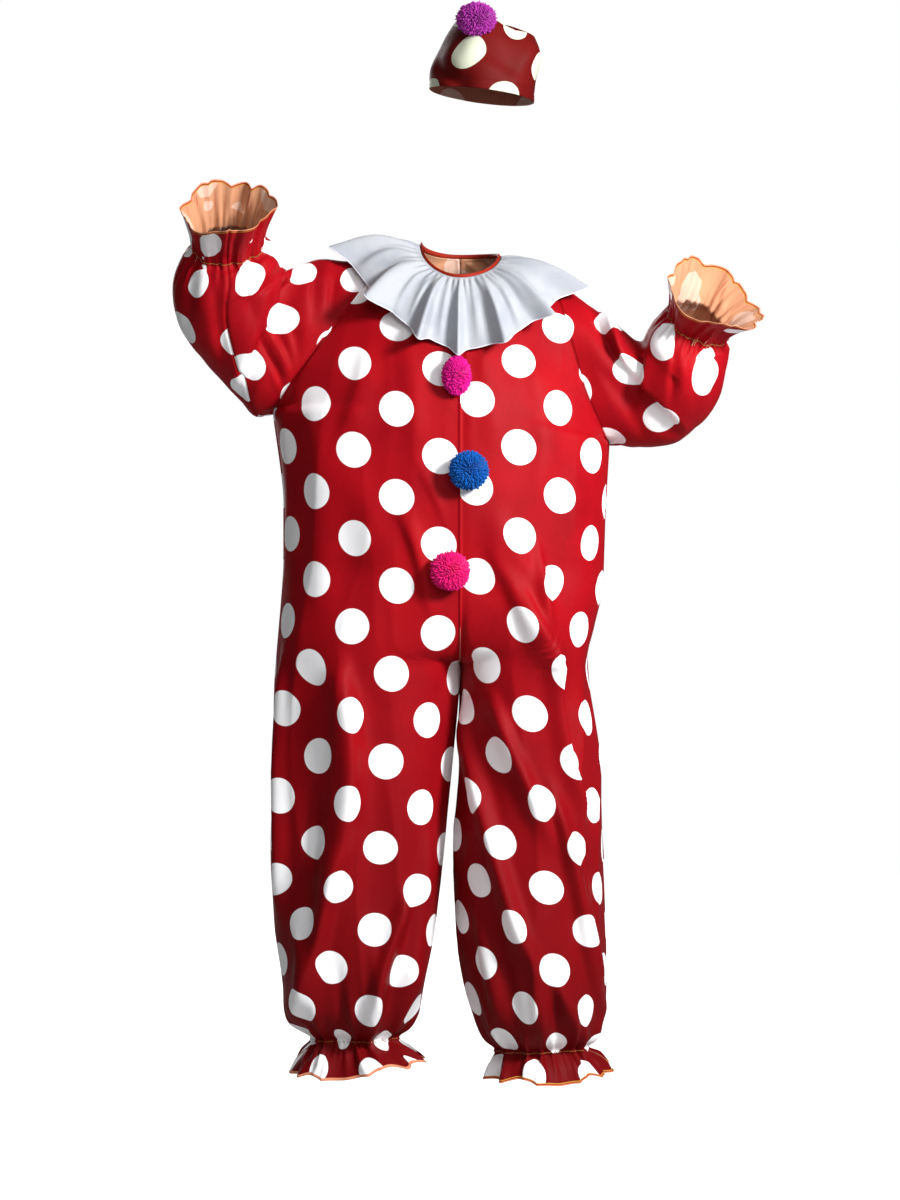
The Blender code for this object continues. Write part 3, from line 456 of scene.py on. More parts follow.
# One row a station from hem to shoulder: 0 hem, 2 ankle elastic, 5 shin, 6 knee, 7 thigh, 8 crotch,
# 11 belly, 12 waist, 13 underarm, 15 chest, 16 neck, 17 shoulder seam.
suit = {
    "profile": tableOf(
        ("front", "back", "frontEdge", "backEdge", "backRise", "start", "end", "rows"),
        (
            (-0.098, 0.094, 0.0, 0.0, 0.0, 0, 180, 9),
            (-0.083, 0.080, 0.0, 0.0, 0.0, 0, 180, 12),
            (-0.066, 0.063, 0.0, 0.0, 0.0, 0, 180, 10),
            (-0.084, 0.082, 0.0, 0.0, 0.0, 0, 180, 12),
            (-0.115, 0.114, 0.0, 0.0, 0.0, 0, 180, 16),
            (-0.138, 0.136, 0.0, 0.0, 0.0, 0, 180, 20),
            (-0.146, 0.140, 0.0, 0.0, 0.0, 0, 180, 18),
            (-0.152, 0.142, 0.0, 0.0, 0.0, 0, 180, 18),
            (-0.160, 0.148, 0.0, 0.0, 0.0, 0, 180, 4),
            (-0.165, 0.152, 0.0, 0.0, 0.0, 35, 180, 8),
            (-0.168, 0.154, 0.0, 0.0, 0.0, 65, 180, 13),
            (-0.172, 0.154, 0.0, 0.0, 0.0, 90, 180, 12),
            (-0.175, 0.152, 0.0, 0.0, 0.0, 90, 180, 15),
            (-0.165, 0.150, 0.0, 0.0, 0.0, 90, 180, 6),
            (-0.159, 0.149, -0.038, 0.040, 0.006, 90, 163, 12),
            (-0.138, 0.142, -0.075, 0.078, 0.020, 90, 142, 16),
            (-0.085, 0.078, -0.070, 0.068, 0.047, 90, 126, 14),
            (0.000, 0.000, 0.0, 0.0, 0.0, 90, 120, 0),
        ),
    ),
    "right": tableOf(
        ("xIn", "zIn", "xOut", "zOut"),
        (
            (-0.066, -1.318, -0.266, -1.332),
            (-0.088, -1.300, -0.254, -1.308),
            (-0.108, -1.279, -0.240, -1.279),
            (-0.093, -1.262, -0.252, -1.262),
            (-0.075, -1.225, -0.274, -1.225),
            (-0.050, -1.135, -0.297, -1.135),
            (-0.031, -0.970, -0.310, -0.970),
            (-0.016, -0.820, -0.304, -0.820),
            (0.000, -0.668, -0.299, -0.660),
            (0.000, -0.650, -0.296, -0.600),
            (0.000, -0.602, -0.292, -0.545),
            (0.000, -0.520, -0.289, -0.485),
            (0.000, -0.410, -0.289, -0.395),
            (0.000, -0.270, -0.306, -0.252),
            (0.000, -0.235, -0.296, -0.236),
            (0.000, -0.155, -0.250, -0.166),
            (0.000, -0.035, -0.168, -0.062),
            (-0.066, 0.026, -0.122, 0.006),
        ),
    ),
    "left": tableOf(
        ("xIn", "zIn", "xOut", "zOut"),
        (
            (0.050, -1.336, 0.238, -1.320),
            (0.058, -1.318, 0.225, -1.306),
            (0.067, -1.299, 0.208, -1.294),
            (0.052, -1.281, 0.219, -1.276),
            (0.030, -1.240, 0.232, -1.236),
            (0.003, -1.140, 0.239, -1.140),
            (-0.005, -0.970, 0.233, -0.970),
            (0.004, -0.820, 0.228, -0.820),
            (0.000, -0.668, 0.206, -0.665),
            (0.000, -0.650, 0.218, -0.604),
            (0.000, -0.602, 0.229, -0.552),
            (0.000, -0.520, 0.235, -0.490),
            (0.000, -0.410, 0.238, -0.410),
            (0.000, -0.270, 0.244, -0.303),
            (0.000, -0.235, 0.236, -0.288),
            (0.000, -0.155, 0.202, -0.212),
            (0.000, -0.035, 0.176, -0.115),
            (0.066, 0.007, 0.153, -0.030),
        ),
    ),
    "fullness": 0.8,
    "columns": 126,
    "wall": 0.0007,
    "seamDitch": 0.0026,
    "seamWidth": 0.0018,
    "wrinkles": 0.0016,
}
elastic, shin, crotch, belly, underarm, neck, shoulder = 2, 5, 8, 11, 13, 16, 17
# the zigzag that holds each elastic
thread = {"radius": 0.00045, "proud": 0.0005, "stitches": 110, "height": 0.0007}
signOf = {"right": -1.0, "left": 1.0, "front": -1.0, "back": 1.0}

# Creases of each panel, in the front view; the backs' are seen through the front, so left is +X's other side.
suitFolds = {
    "front_right": (
        (-0.186, -0.680, -0.200, -1.010, 0.020, 0.030, 0.013, -0.030),  # trough down the leg
        (-0.200, -0.995, -0.256, -1.265, 0.0, 0.028, 0.010, -0.024),
        (-0.140, -0.700, -0.150, -1.080, 0.010, 0.022, 0.034, 0.008),
        (-0.284, -0.660, -0.288, -1.060, 0.0, 0.006, 0.010, -0.016),
        (-0.236, -0.880, -0.246, -1.150, 0.004, 0.020, 0.016, 0.010),
        (-0.094, -1.040, -0.156, -1.265, -0.004, 0.008, 0.014, -0.018),
        (-0.064, -0.350, -0.018, -0.452, 0.004, 0.005, 0.011, -0.006),  # from the middle pom-pom
        (-0.094, -0.420, -0.050, -0.560, 0.006, 0.009, 0.018, -0.008),
        (-0.200, -0.330, -0.110, -0.520, 0.010, 0.040, 0.030, -0.006),
        (-0.235, -0.250, -0.225, -0.560, 0.008, 0.022, 0.030, -0.007),
        (-0.150, -0.160, -0.190, -0.300, 0.006, 0.014, 0.026, -0.006),  # from the shoulder to the side
        (-0.090, -0.120, -0.070, -0.300, 0.0, 0.020, 0.020, -0.004),
        (-0.055, -0.940, -0.096, -1.210, 0.004, 0.010, 0.022, -0.013),  # down to the elastic
        (-0.086, -1.080, -0.120, -1.240, 0.0, 0.012, 0.014, 0.009),
        (-0.140, -1.140, -0.138, -1.250, 0.0, 0.009, 0.014, -0.010),
        (-0.262, -1.080, -0.228, -1.240, 0.0, 0.012, 0.018, -0.011),
        (-0.196, -1.160, -0.186, -1.260, 0.0, 0.010, 0.012, 0.008),
    ),
    "front_left": (
        (0.110, -0.570, 0.154, -0.664, 0.0, 0.018, 0.006, -0.020),  # from the hip down the thigh
        (0.150, -0.650, 0.196, -0.890, -0.008, 0.016, 0.006, -0.018),
        (0.162, -0.640, 0.206, -0.900, -0.008, 0.008, 0.018, 0.007),
        (0.013, -0.750, 0.114, -1.140, -0.006, 0.018, 0.010, -0.022),  # across the inside of the leg
        (0.060, -0.730, 0.142, -0.935, 0.0, 0.018, 0.009, -0.018),
        (0.150, -0.880, 0.234, -1.240, 0.0, 0.008, 0.014, -0.020),
        (0.196, -1.080, 0.238, -1.225, -0.004, 0.016, 0.007, 0.011),  # doubled over above the elastic
        (0.148, -1.165, 0.178, -1.240, 0.0, 0.010, 0.012, -0.014),
        (0.060, -0.440, 0.165, -0.680, 0.012, 0.040, 0.022, -0.014),  # slack across the hip
        (0.126, -0.490, 0.138, -0.585, 0.0, 0.012, 0.007, -0.016),
        (0.058, -0.500, 0.114, -0.625, 0.004, 0.010, 0.016, -0.010),
        (0.180, -0.380, 0.200, -0.540, 0.0, 0.020, 0.024, -0.007),
        (0.120, -0.180, 0.130, -0.380, 0.010, 0.020, 0.030, -0.006),
        (0.035, -0.140, 0.050, -0.290, 0.0, 0.018, 0.018, -0.004),
        (0.030, -1.060, 0.066, -1.240, 0.0, 0.010, 0.016, -0.012),
        (0.060, -1.100, 0.094, -1.250, 0.0, 0.012, 0.014, 0.009),
        (0.118, -1.120, 0.124, -1.260, 0.0, 0.008, 0.014, -0.011),
        (0.150, -1.170, 0.158, -1.270, 0.0, 0.010, 0.010, 0.008),
    ),
    "back_right": (
        (-0.120, -0.220, -0.160, -0.620, 0.0, 0.036, 0.036, 0.010),
        (-0.220, -0.360, -0.250, -0.900, 0.0, 0.014, 0.032, -0.014),
        (-0.140, -0.700, -0.170, -1.150, 0.006, 0.012, 0.036, -0.022),
        (-0.240, -0.960, -0.240, -1.220, 0.0, 0.028, 0.028, 0.010),
        (-0.070, -0.500, -0.110, -0.760, 0.010, 0.016, 0.030, -0.012),
        (-0.080, -0.180, -0.060, -0.420, 0.006, 0.020, 0.030, -0.006),
        (-0.090, -0.960, -0.110, -1.230, 0.0, 0.010, 0.022, -0.012),
        (-0.200, -1.100, -0.190, -1.240, 0.0, 0.010, 0.014, -0.010),
    ),
    "back_left": (
        (0.100, -0.240, 0.130, -0.640, 0.0, 0.036, 0.036, 0.010),
        (0.180, -0.380, 0.200, -0.880, 0.0, 0.034, 0.014, -0.014),
        (0.100, -0.700, 0.130, -1.160, -0.006, 0.036, 0.013, -0.020),
        (0.190, -0.980, 0.190, -1.200, 0.0, 0.028, 0.028, 0.010),
        (0.060, -0.520, 0.090, -0.780, 0.010, 0.030, 0.016, -0.012),
        (0.050, -0.200, 0.070, -0.400, 0.006, 0.024, 0.020, -0.006),
        (0.060, -0.980, 0.080, -1.240, 0.0, 0.012, 0.020, -0.012),
        (0.150, -1.100, 0.140, -1.250, 0.0, 0.012, 0.014, -0.010),
    ),
}
# How the print lies on each panel: the upright line it hangs from, its lean below the hip, how much its
# rows fall toward the wearer's left, and the place of one dot. Above the ankle the cloth is slack in length.
suitPrint = {
    "front_right": {"line": -0.125, "lean": -0.065, "fall": 0.08, "dot": (-0.0306, -0.3272)},
    "front_left": {"line": 0.110, "lean": 0.095, "fall": 0.09, "dot": (0.0225, -0.3770)},
    "back_right": {"line": -0.125, "lean": -0.085, "fall": 0.0, "dot": (-0.060, -0.3400)},
    "back_left": {"line": 0.110, "lean": 0.085, "fall": 0.0, "dot": (0.050, -0.3800)},
}
hip = -0.55
slack = {"from": -0.93, "over": 0.35, "share": 0.07}
follows = {"under": 4.0, "above": 14.6}  # stations where the print follows the cloth's slope, not its height


def panelBase(side, face, across, stations):  # a panel before its folds; across is 0 inside, 1 outside
    profile, outline = suit["profile"], suit[side]
    xIn, zIn, xOut, zOut = (curveThrough(outline[name], stations) for name in ("xIn", "zIn", "xOut", "zOut"))
    deep, edge = curveThrough(profile[face], stations), curveThrough(profile[face + "Edge"], stations)
    rise = profile["backRise"][neck] if face == "back" else 0.0
    if face == "back":
        zIn = zIn + curveThrough(profile["backRise"], stations)
    quarter = np.clip(stations - neck, 0.0, 1.0) * np.pi / 2
    top = outline["zIn"][shoulder]
    above = stations > neck
    xIn = np.where(above, outline["xIn"][shoulder] * np.sin(quarter), xIn)
    zIn = np.where(above, top - (top - outline["zIn"][neck] - rise) * np.cos(quarter), zIn)
    deep = np.where(above, profile[face][neck] * np.cos(quarter), deep)
    start = np.radians(curveThrough(profile["start"], stations))[:, None]
    end = np.radians(curveThrough(profile["end"], stations))[:, None]
    angle = start + (end - start) * across
    share = (np.cos(start) - np.cos(angle)) / (np.cos(start) - np.cos(end))
    full = suit["fullness"]
    rounding = ((edge - deep)[:, None]) / (1.0 - np.abs(np.sin(end)) ** full)
    y = deep[:, None] + rounding * (1.0 - np.abs(np.sin(angle)) ** full)
    x = xIn[:, None] + (xOut - xIn)[:, None] * share
    z = zIn[:, None] + (zOut - zIn)[:, None] * share
    return np.stack([x, y, z], axis=2)


def seamColumns(count):  # evenly spaced, with three more close to each edge for the seam's ditch
    even = np.linspace(0.0, 1.0, count)
    near = np.array([0.003, 0.007, 0.0075 + 0.25 / count])
    return np.unique(np.concatenate([even, near, 1.0 - near]))


def panelPrint(piece, points, stations):  # where each point lies on the cloth before it was cut
    lay = suitPrint[piece]
    side = signOf[piece.split("_")[1]]
    lengths = arcLengths(points)
    outward = side * points[..., 0]
    middle = points[:, points.shape[1] // 2]
    line = lay["line"] + lay["lean"] * np.clip(hip - middle[:, 2], 0.0, None)
    u = np.empty(points.shape[:2])
    for row in range(len(points)):
        reach = np.interp(side * line[row], outward[row], lengths[row])
        u[row] = lay["line"] + side * (lengths[row] - reach)
    gathered = stations < shin  # the cloth keeps its width where the elastic draws it in
    whole = u[np.argmax(stations >= shin)]
    u[gathered] = whole
    along = np.linalg.norm(np.diff(middle, axis=0), axis=1)
    rise = np.diff(middle[:, 2])
    later = stations[1:]
    sloping = np.maximum(fade(later - follows["above"], 1.0), fade(follows["under"] - later, 1.5))
    height = np.concatenate([[0.0], np.cumsum(rise + (along - rise) * sloping)])
    level = np.argmax(stations >= belly)
    v = (height - height[level] + middle[level, 2])[:, None] + points[..., 2] - middle[:, 2:3]
    v = v + lay["fall"] * points[..., 0]
    v -= slack["share"] * np.clip(slack["from"] - points[..., 2], 0.0, slack["over"])
    place = lay["dot"]
    u, v = u - place[0], v - place[1] - lay["fall"] * place[0]
    make = gridOf(np.linspace(0.0, lengths[0, -1], points.shape[1]), height)
    return np.stack([u, v], axis=2), make


frill = {
    "ruffles": 11,  # the lobes at the hem
    "ruffleDepth": 0.0080,
    "sway": 0.0060,  # the slower swell under them
    "hemDrop": 0.0070,
    "hemLower": {"right": 0.002, "left": 0.012},  # of the legs
    "puckers": 19,  # the short folds at the elastic
    "puckerDepth": 0.0155,
    "reach": (0.070, 0.180),  # how far into the leg or arm they run
    "widening": 0.120,  # they are twice as wide this far from it
    "near": 0.02,  # how far from the stitches the finest folds reach
    "gathers": 48,
    "gatherDepth": 0.0013,
    "drawnIn": 0.0030,  # how far the elastic draws the cloth in
    "cord": 0.0022,  # and how far to either side
}


def frillWave(turn, out):  # out is the distance past the elastic toward the hem, and under 0 in the leg
    puckers = np.zeros((len(out), len(turn)))
    shortest, longest = frill["reach"]
    for k in range(frill["puckers"]):
        middle = (k + 0.5 + 0.30 * math.sin(2.3 * k)) / frill["puckers"]
        reach = shortest + (longest - shortest) * math.sin(1.7 * k + 1.0) ** 2
        width = (0.19 + 0.05 * math.sin(3.1 * k)) / frill["puckers"]
        lean = 0.25 * math.sin(5.0 * k) * out[:, None]
        away = (turn + lean - middle + 0.5) % 1.0 - 0.5
        inLeg, inFrill = fade(reach + out, reach), np.exp(-np.clip(out, 0, None) / (0.7 * reach))
        along = np.where(out > 0, inFrill, inLeg) * (0.72 + 0.28 * math.sin(4.7 * k))
        spread = width * (1.0 + np.abs(out) / frill["widening"])[:, None]
        puckers -= along[:, None] * np.exp(-((away / spread) ** 2))
    near = np.exp(-((out / frill["near"]) ** 2))[:, None]
    cord = np.exp(-((out / frill["cord"]) ** 2))[:, None]
    flare = fade(out, 0.8 * out.max())[:, None]
    phase = frill["ruffles"] * turn + 0.16 * np.sin(4 * np.pi * turn + 0.4) + 0.10 * np.sin(10 * np.pi * turn)
    lobes = (2.0 * np.abs(np.cos(np.pi * phase)) ** 0.8 - 1.3) * (0.8 + 0.2 * np.sin(6 * np.pi * turn))
    ruffles = frill["ruffleDepth"] * lobes + frill["sway"] * np.sin(6 * np.pi * turn + 1.3)
    drop = np.sin(4 * np.pi * turn + 0.6) + 0.6 * np.sin(10 * np.pi * turn + 2.2) + 0.4 * lobes
    gathers = frill["gatherDepth"] * np.cos(2 * np.pi * frill["gathers"] * turn)[None, :]
    wave = frill["puckerDepth"] * (puckers + 0.40 * near) + near * gathers - frill["drawnIn"] * cord
    wave += flare * ruffles[None, :]
    return wave, frill["hemDrop"] * flare * drop[None, :]


def elasticStitches(name, rings):  # over the elastic, given a ring of points on either side of it
    middle, along = rings.mean(axis=0), unit(rings[1] - rings[0]) * thread["height"]
    rings = proud(np.stack([middle - along, middle + along]), thread["proud"])
    closedThread(name, zigzag(rings, thread["stitches"]), thread["radius"], goldThread)


def pastElastic(rows, stations, elastic, hemFirst):  # how far each row of a grid lies past the elastic
    along = lengthsAlong(rows)
    out = along - along[np.argmin(np.abs(stations - elastic))]
    return -out if hemFirst else out


def suitSide(side):
    stations = finely(suit["profile"]["rows"][:-1].astype(int))
    across = seamColumns(suit["columns"])
    base, normal, turn = {}, {}, {}
    for face in ("front", "back"):
        base[face] = panelBase(side, face, across, stations)
        normal[face] = normalsOf(base[face], signOf[side] * signOf[face])
        turn[face] = across / 2 if face == "front" else 1.0 - across / 2
    legs, sides = stations < crotch, stations <= underarm
    for rows, place in ((legs, 0), (sides, -1)):
        shared = unit(normal["front"][rows, place] + normal["back"][rows, place])
        shared[:, 1] = 0.0
        normal["front"][rows, place] = normal["back"][rows, place] = unit(shared)
    for face in ("front", "back"):
        piece = face + "_" + side
        centre = (stations >= crotch) & (stations <= neck)
        normal[face][centre, 0, 0] = 0.0
        normal[face][legs, :, 2] = 0.0
        normal[face] = unit(normal[face])
        out = pastElastic(base["front"][:, len(across) // 2], stations, elastic, True)
        wave, drop = frillWave(turn[face], out)
        edges = fade(across, 0.16) * fade(1.0 - across, 0.16)
        quiet = fade(shoulder - stations, 1.0)[:, None]
        folds = edges * quiet * foldHeight(base[face], suitFolds[piece])
        lively = (fade(across, 0.05) * fade(1.0 - across, 0.05))[None, :] * quiet
        leg = fade(hip - base[face][..., 2], 0.25)
        soft = 1.4 * streaks(base[face], 9.0, 2.0)
        soft += (2.0 + 1.6 * leg) * creases(base[face], 6.5, 4.0 + signOf[side], 0.2)
        soft += (0.8 + 2.2 * leg) * creases(base[face], 12.0, 9.0 + signOf[side], 0.16)
        folds += lively * suit["wrinkles"] * soft
        near = np.minimum(across, 1.0 - across) * arcLengths(base[face])[:, -1:]
        folds -= suit["seamDitch"] * np.exp(-((near / suit["seamWidth"]) ** 2))
        base[face] = base[face] + normal[face] * (wave + folds)[..., None]
        base[face][..., 2] += drop - frill["hemLower"][side] * fade(out, out.max())[:, None]
    return base, stations


def buildSuit():
    edges = {}
    for side in ("right", "left"):
        panels, stations = suitSide(side)
        for face in ("front", "back"):
            piece = face + "_" + side
            grids = (panels[face], *panelPrint(piece, panels[face], stations))
            if signOf[side] * signOf[face] > 0:
                grids = [grid[:, ::-1] for grid in grids]
            outside = redPeach if side == "right" else redPrint
            addCloth(piece, grids, (outside, redInside, peachEdge), suit["wall"])
        row = np.argmin(np.abs(stations - elastic))
        front, back = panels["front"], panels["back"]
        rings = [np.concatenate([front[k], back[k, ::-1]]) for k in (row - 1, row + 1)]
        elasticStitches("ankle_stitches_" + side, np.stack(rings))
        armhole = stations >= underarm
        edges[side] = (front[armhole, -1], back[armhole, -1])
        print("suit:", side, "half made")
    return edges


armholes = buildSuit()


tubeColumns = ("xIn", "yIn", "zIn", "xOut", "yOut", "zOut", "depth", "lean", "rows")
sleeves = {
    "right": tableOf(
        tubeColumns,
        (
            (-0.122, 0.000, 0.006, -0.306, 0.000, -0.252, 0.078, 0, 12),
            (-0.186, 0.000, 0.001, -0.330, -0.004, -0.256, 0.088, 0, 7),
            (-0.232, -0.008, 0.004, -0.348, -0.012, -0.247, 0.093, 0, 7),
            (-0.258, -0.022, -0.004, -0.376, -0.026, -0.216, 0.096, 0, 7),
            (-0.273, -0.038, -0.014, -0.416, -0.044, -0.172, 0.097, 0, 7),
            (-0.284, -0.054, -0.018, -0.450, -0.062, -0.126, 0.095, 7, 7),
            (-0.291, -0.070, -0.012, -0.466, -0.078, -0.085, 0.091, 16, 7),
            (-0.294, -0.086, 0.002, -0.468, -0.090, -0.042, 0.085, 25, 8),
            (-0.302, -0.099, 0.014, -0.453, -0.100, -0.004, 0.072, 34, 8),
            (-0.318, -0.110, 0.021, -0.435, -0.110, 0.014, 0.056, 40, 8),
            (-0.309, -0.134, 0.048, -0.441, -0.134, 0.042, 0.064, 40, 8),
            (-0.292, -0.158, 0.078, -0.449, -0.158, 0.068, 0.076, 40, 0),
        ),
    ),
    "left": tableOf(
        tubeColumns,
        (
            (0.153, 0.000, -0.030, 0.244, 0.000, -0.303, 0.078, 0, 12),
            (0.206, 0.000, -0.066, 0.280, 0.000, -0.307, 0.088, 0, 7),
            (0.246, -0.008, -0.093, 0.317, -0.010, -0.307, 0.092, 0, 7),
            (0.272, -0.020, -0.116, 0.358, -0.024, -0.298, 0.094, 0, 7),
            (0.288, -0.034, -0.131, 0.398, -0.038, -0.267, 0.092, 4, 7),
            (0.298, -0.048, -0.132, 0.424, -0.050, -0.228, 0.088, 12, 7),
            (0.305, -0.062, -0.118, 0.434, -0.063, -0.193, 0.082, 21, 7),
            (0.315, -0.073, -0.101, 0.438, -0.074, -0.166, 0.074, 30, 8),
            (0.328, -0.082, -0.088, 0.437, -0.083, -0.150, 0.064, 37, 8),
            (0.341, -0.090, -0.080, 0.432, -0.090, -0.134, 0.053, 40, 8),
            (0.342, -0.106, -0.051, 0.455, -0.106, -0.117, 0.066, 40, 8),
            (0.340, -0.124, -0.022, 0.484, -0.124, -0.108, 0.080, 40, 0),
        ),
    ),
    # how far round from the underarm the seam has turned at each section
    "seam": {
        "right": (0.0, 0.02, 0.06, 0.12, 0.18, 0.22, 0.24, 0.25, 0.25, 0.25, 0.25, 0.25),
        "left": (0.0,) * 12,
    },
    "soft": 0.0014,
    "wrinkles": 0.0024,
    "seamDitch": 0.0030,
    "seamWidth": 0.0026,
    "puckers": 0.5,  # how deep its frill's folds are beside a leg's
    "puckersFrom": 6.3,
    "gathered": 6.5,
    "columns": 210,
    "elastic": 9,
    "wall": 0.0007,
}
sleeveFolds = {
    "sleeve_right": (
        (-0.279, 0.010, -0.290, -0.110, 0.003, 0.005, 0.026, -0.020),  # the forearm lies over the upper arm
        (-0.289, -0.098, -0.360, -0.208, 0.0, 0.006, 0.024, -0.024),
        (-0.300, -0.020, -0.348, -0.170, 0.0, 0.026, 0.012, 0.007),
        (-0.236, -0.005, -0.238, -0.080, 0.0, 0.006, 0.012, -0.009),  # down from the shoulder
        (-0.206, -0.005, -0.210, -0.100, 0.0, 0.007, 0.013, -0.009),
        (-0.298, -0.105, -0.274, -0.175, 0.0, 0.005, 0.010, -0.010),  # out from the elbow
        (-0.318, -0.140, -0.286, -0.215, 0.0, 0.005, 0.010, -0.010),
        (-0.272, -0.100, -0.256, -0.190, 0.0, 0.008, 0.010, -0.007),
        (-0.396, -0.050, -0.386, -0.170, 0.0, 0.010, 0.016, -0.006),
        (-0.336, -0.020, -0.338, -0.100, 0.0, 0.008, 0.012, -0.006),
        (-0.430, -0.020, -0.446, -0.120, 0.0, 0.010, 0.012, -0.006),
    ),
    "sleeve_left": (
        (0.226, -0.050, 0.280, -0.192, -0.007, 0.004, 0.015, 0.016),  # a fold standing down from the shoulder
        (0.217, -0.056, 0.270, -0.192, -0.007, 0.016, 0.006, -0.012),
        (0.297, -0.125, 0.281, -0.226, 0.0, 0.024, 0.005, -0.022),  # the forearm lies over the upper arm
        (0.281, -0.214, 0.354, -0.282, 0.0, 0.022, 0.005, -0.022),
        (0.343, -0.160, 0.340, -0.222, 0.0, 0.004, 0.012, -0.010),
        (0.372, -0.150, 0.380, -0.230, 0.0, 0.010, 0.012, -0.005),
        (0.240, -0.200, 0.300, -0.290, 0.0, 0.008, 0.014, -0.008),
        (0.400, -0.150, 0.418, -0.230, 0.0, 0.010, 0.010, -0.006),
    ),
}
# where a dot shows from the front, and how the rows lean
sleevePrint = {"right": (-0.3355, -0.0407, 0.785), "left": (0.3977, -0.1955, 0.52)}
# The sleeves' cloth is spread flat on a coarser grid, and the points between follow.
spreading = {"everyRow": 2, "everyColumn": 6, "rounds": 4000, "pace": 1.6}


def ringPoints(tube, place, turn):  # a section: turn is 0 at its outer edge and a quarter at its front
    inner = np.array([tube["xIn"][place], tube["yIn"][place], tube["zIn"][place]])
    outer = np.array([tube["xOut"][place], tube["yOut"][place], tube["zOut"][place]])
    chord = outer - inner
    lift = unit(np.cross(chord, (0.0, 1.0, 0.0)))
    lift = lift if lift[2] >= 0 else -lift
    lean = math.radians(tube["lean"][place])
    backward = np.array([0.0, math.cos(lean), 0.0]) + lift * math.sin(lean)
    angle = 2 * np.pi * turn[:, None]
    return (inner + outer) / 2 + chord / 2 * np.cos(angle) - backward * tube["depth"][place] * np.sin(angle)


def throughSections(sections, stations):  # a smooth surface through a tube's sections
    last = len(sections) - 1
    low = np.clip(np.floor(stations), 0, last - 1).astype(int)
    t = (stations - low)[:, None, None]
    before, start = sections[np.clip(low - 1, 0, last)], sections[low]
    end, after = sections[low + 1], sections[np.clip(low + 2, 0, last)]
    return hermite(start, (end - before) / 2, end, (after - start) / 2, t)


def armholeRing(side, turn):  # the armhole, from the underarm round the front
    front, back = armholes[side]
    ring = np.concatenate([front, back[-2::-1]])
    lengths = lengthsAlong(ring)
    return np.stack([np.interp(turn, lengths / lengths[-1], ring[:, k]) for k in range(3)], axis=1)


def layFlat(base, gathered):  # where each point of a tube lies when its cloth is cut open and spread flat
    everyRow, everyColumn = spreading["everyRow"], spreading["everyColumn"]
    coarse, gathered = base[::everyRow, ::everyColumn], gathered[::everyRow]
    rows, columns = coarse.shape[:2]
    around = arcLengths(coarse)
    along = np.cumsum(np.linalg.norm(np.diff(coarse, axis=0, prepend=coarse[:1]), axis=2), axis=0)
    flat = np.stack([around - around[:, -1:] / 2, along], axis=2)
    pairs = []
    for down, across in ((0, 1), (1, 0), (1, 1), (1, -1)):
        left, right = max(0, -across), max(0, across)
        first = (slice(0, rows - down), slice(left, columns - right))
        second = (slice(down, rows), slice(right, columns - left))
        pairs.append((first, second, np.linalg.norm(coarse[second] - coarse[first], axis=2)))
    widths = pairs[0][2]
    widths[gathered] = widths[np.argmax(gathered)]  # cloth keeps its width where the elastic draws it in
    for pair in (2, 3):
        square = np.hypot(widths[1:], pairs[1][2][:, :-1])
        pairs[pair][2][gathered[1:]] = square[gathered[1:]]
    for _ in range(spreading["rounds"]):  # each pair is nudged toward its true distance, a little at a time
        push, count = np.zeros_like(flat), np.zeros((rows, columns, 1))
        for first, second, length in pairs:
            apart = flat[second] - flat[first]
            now = np.maximum(np.linalg.norm(apart, axis=2), 1e-6)
            move = apart * (0.5 - 0.5 * length / now)[..., None]
            push[first] += move
            push[second] -= move
            count[first] += 1
            count[second] += 1
        flat += spreading["pace"] * push / count
    for count, every in zip(base.shape[:2], (everyRow, everyColumn)):
        at = np.arange(count) / every
        low = np.minimum(at.astype(int), len(flat) - 2)
        flat = flat[low] + (flat[low + 1] - flat[low]) * (at - low)[:, None, None]
        flat = flat.swapaxes(0, 1)
    return flat


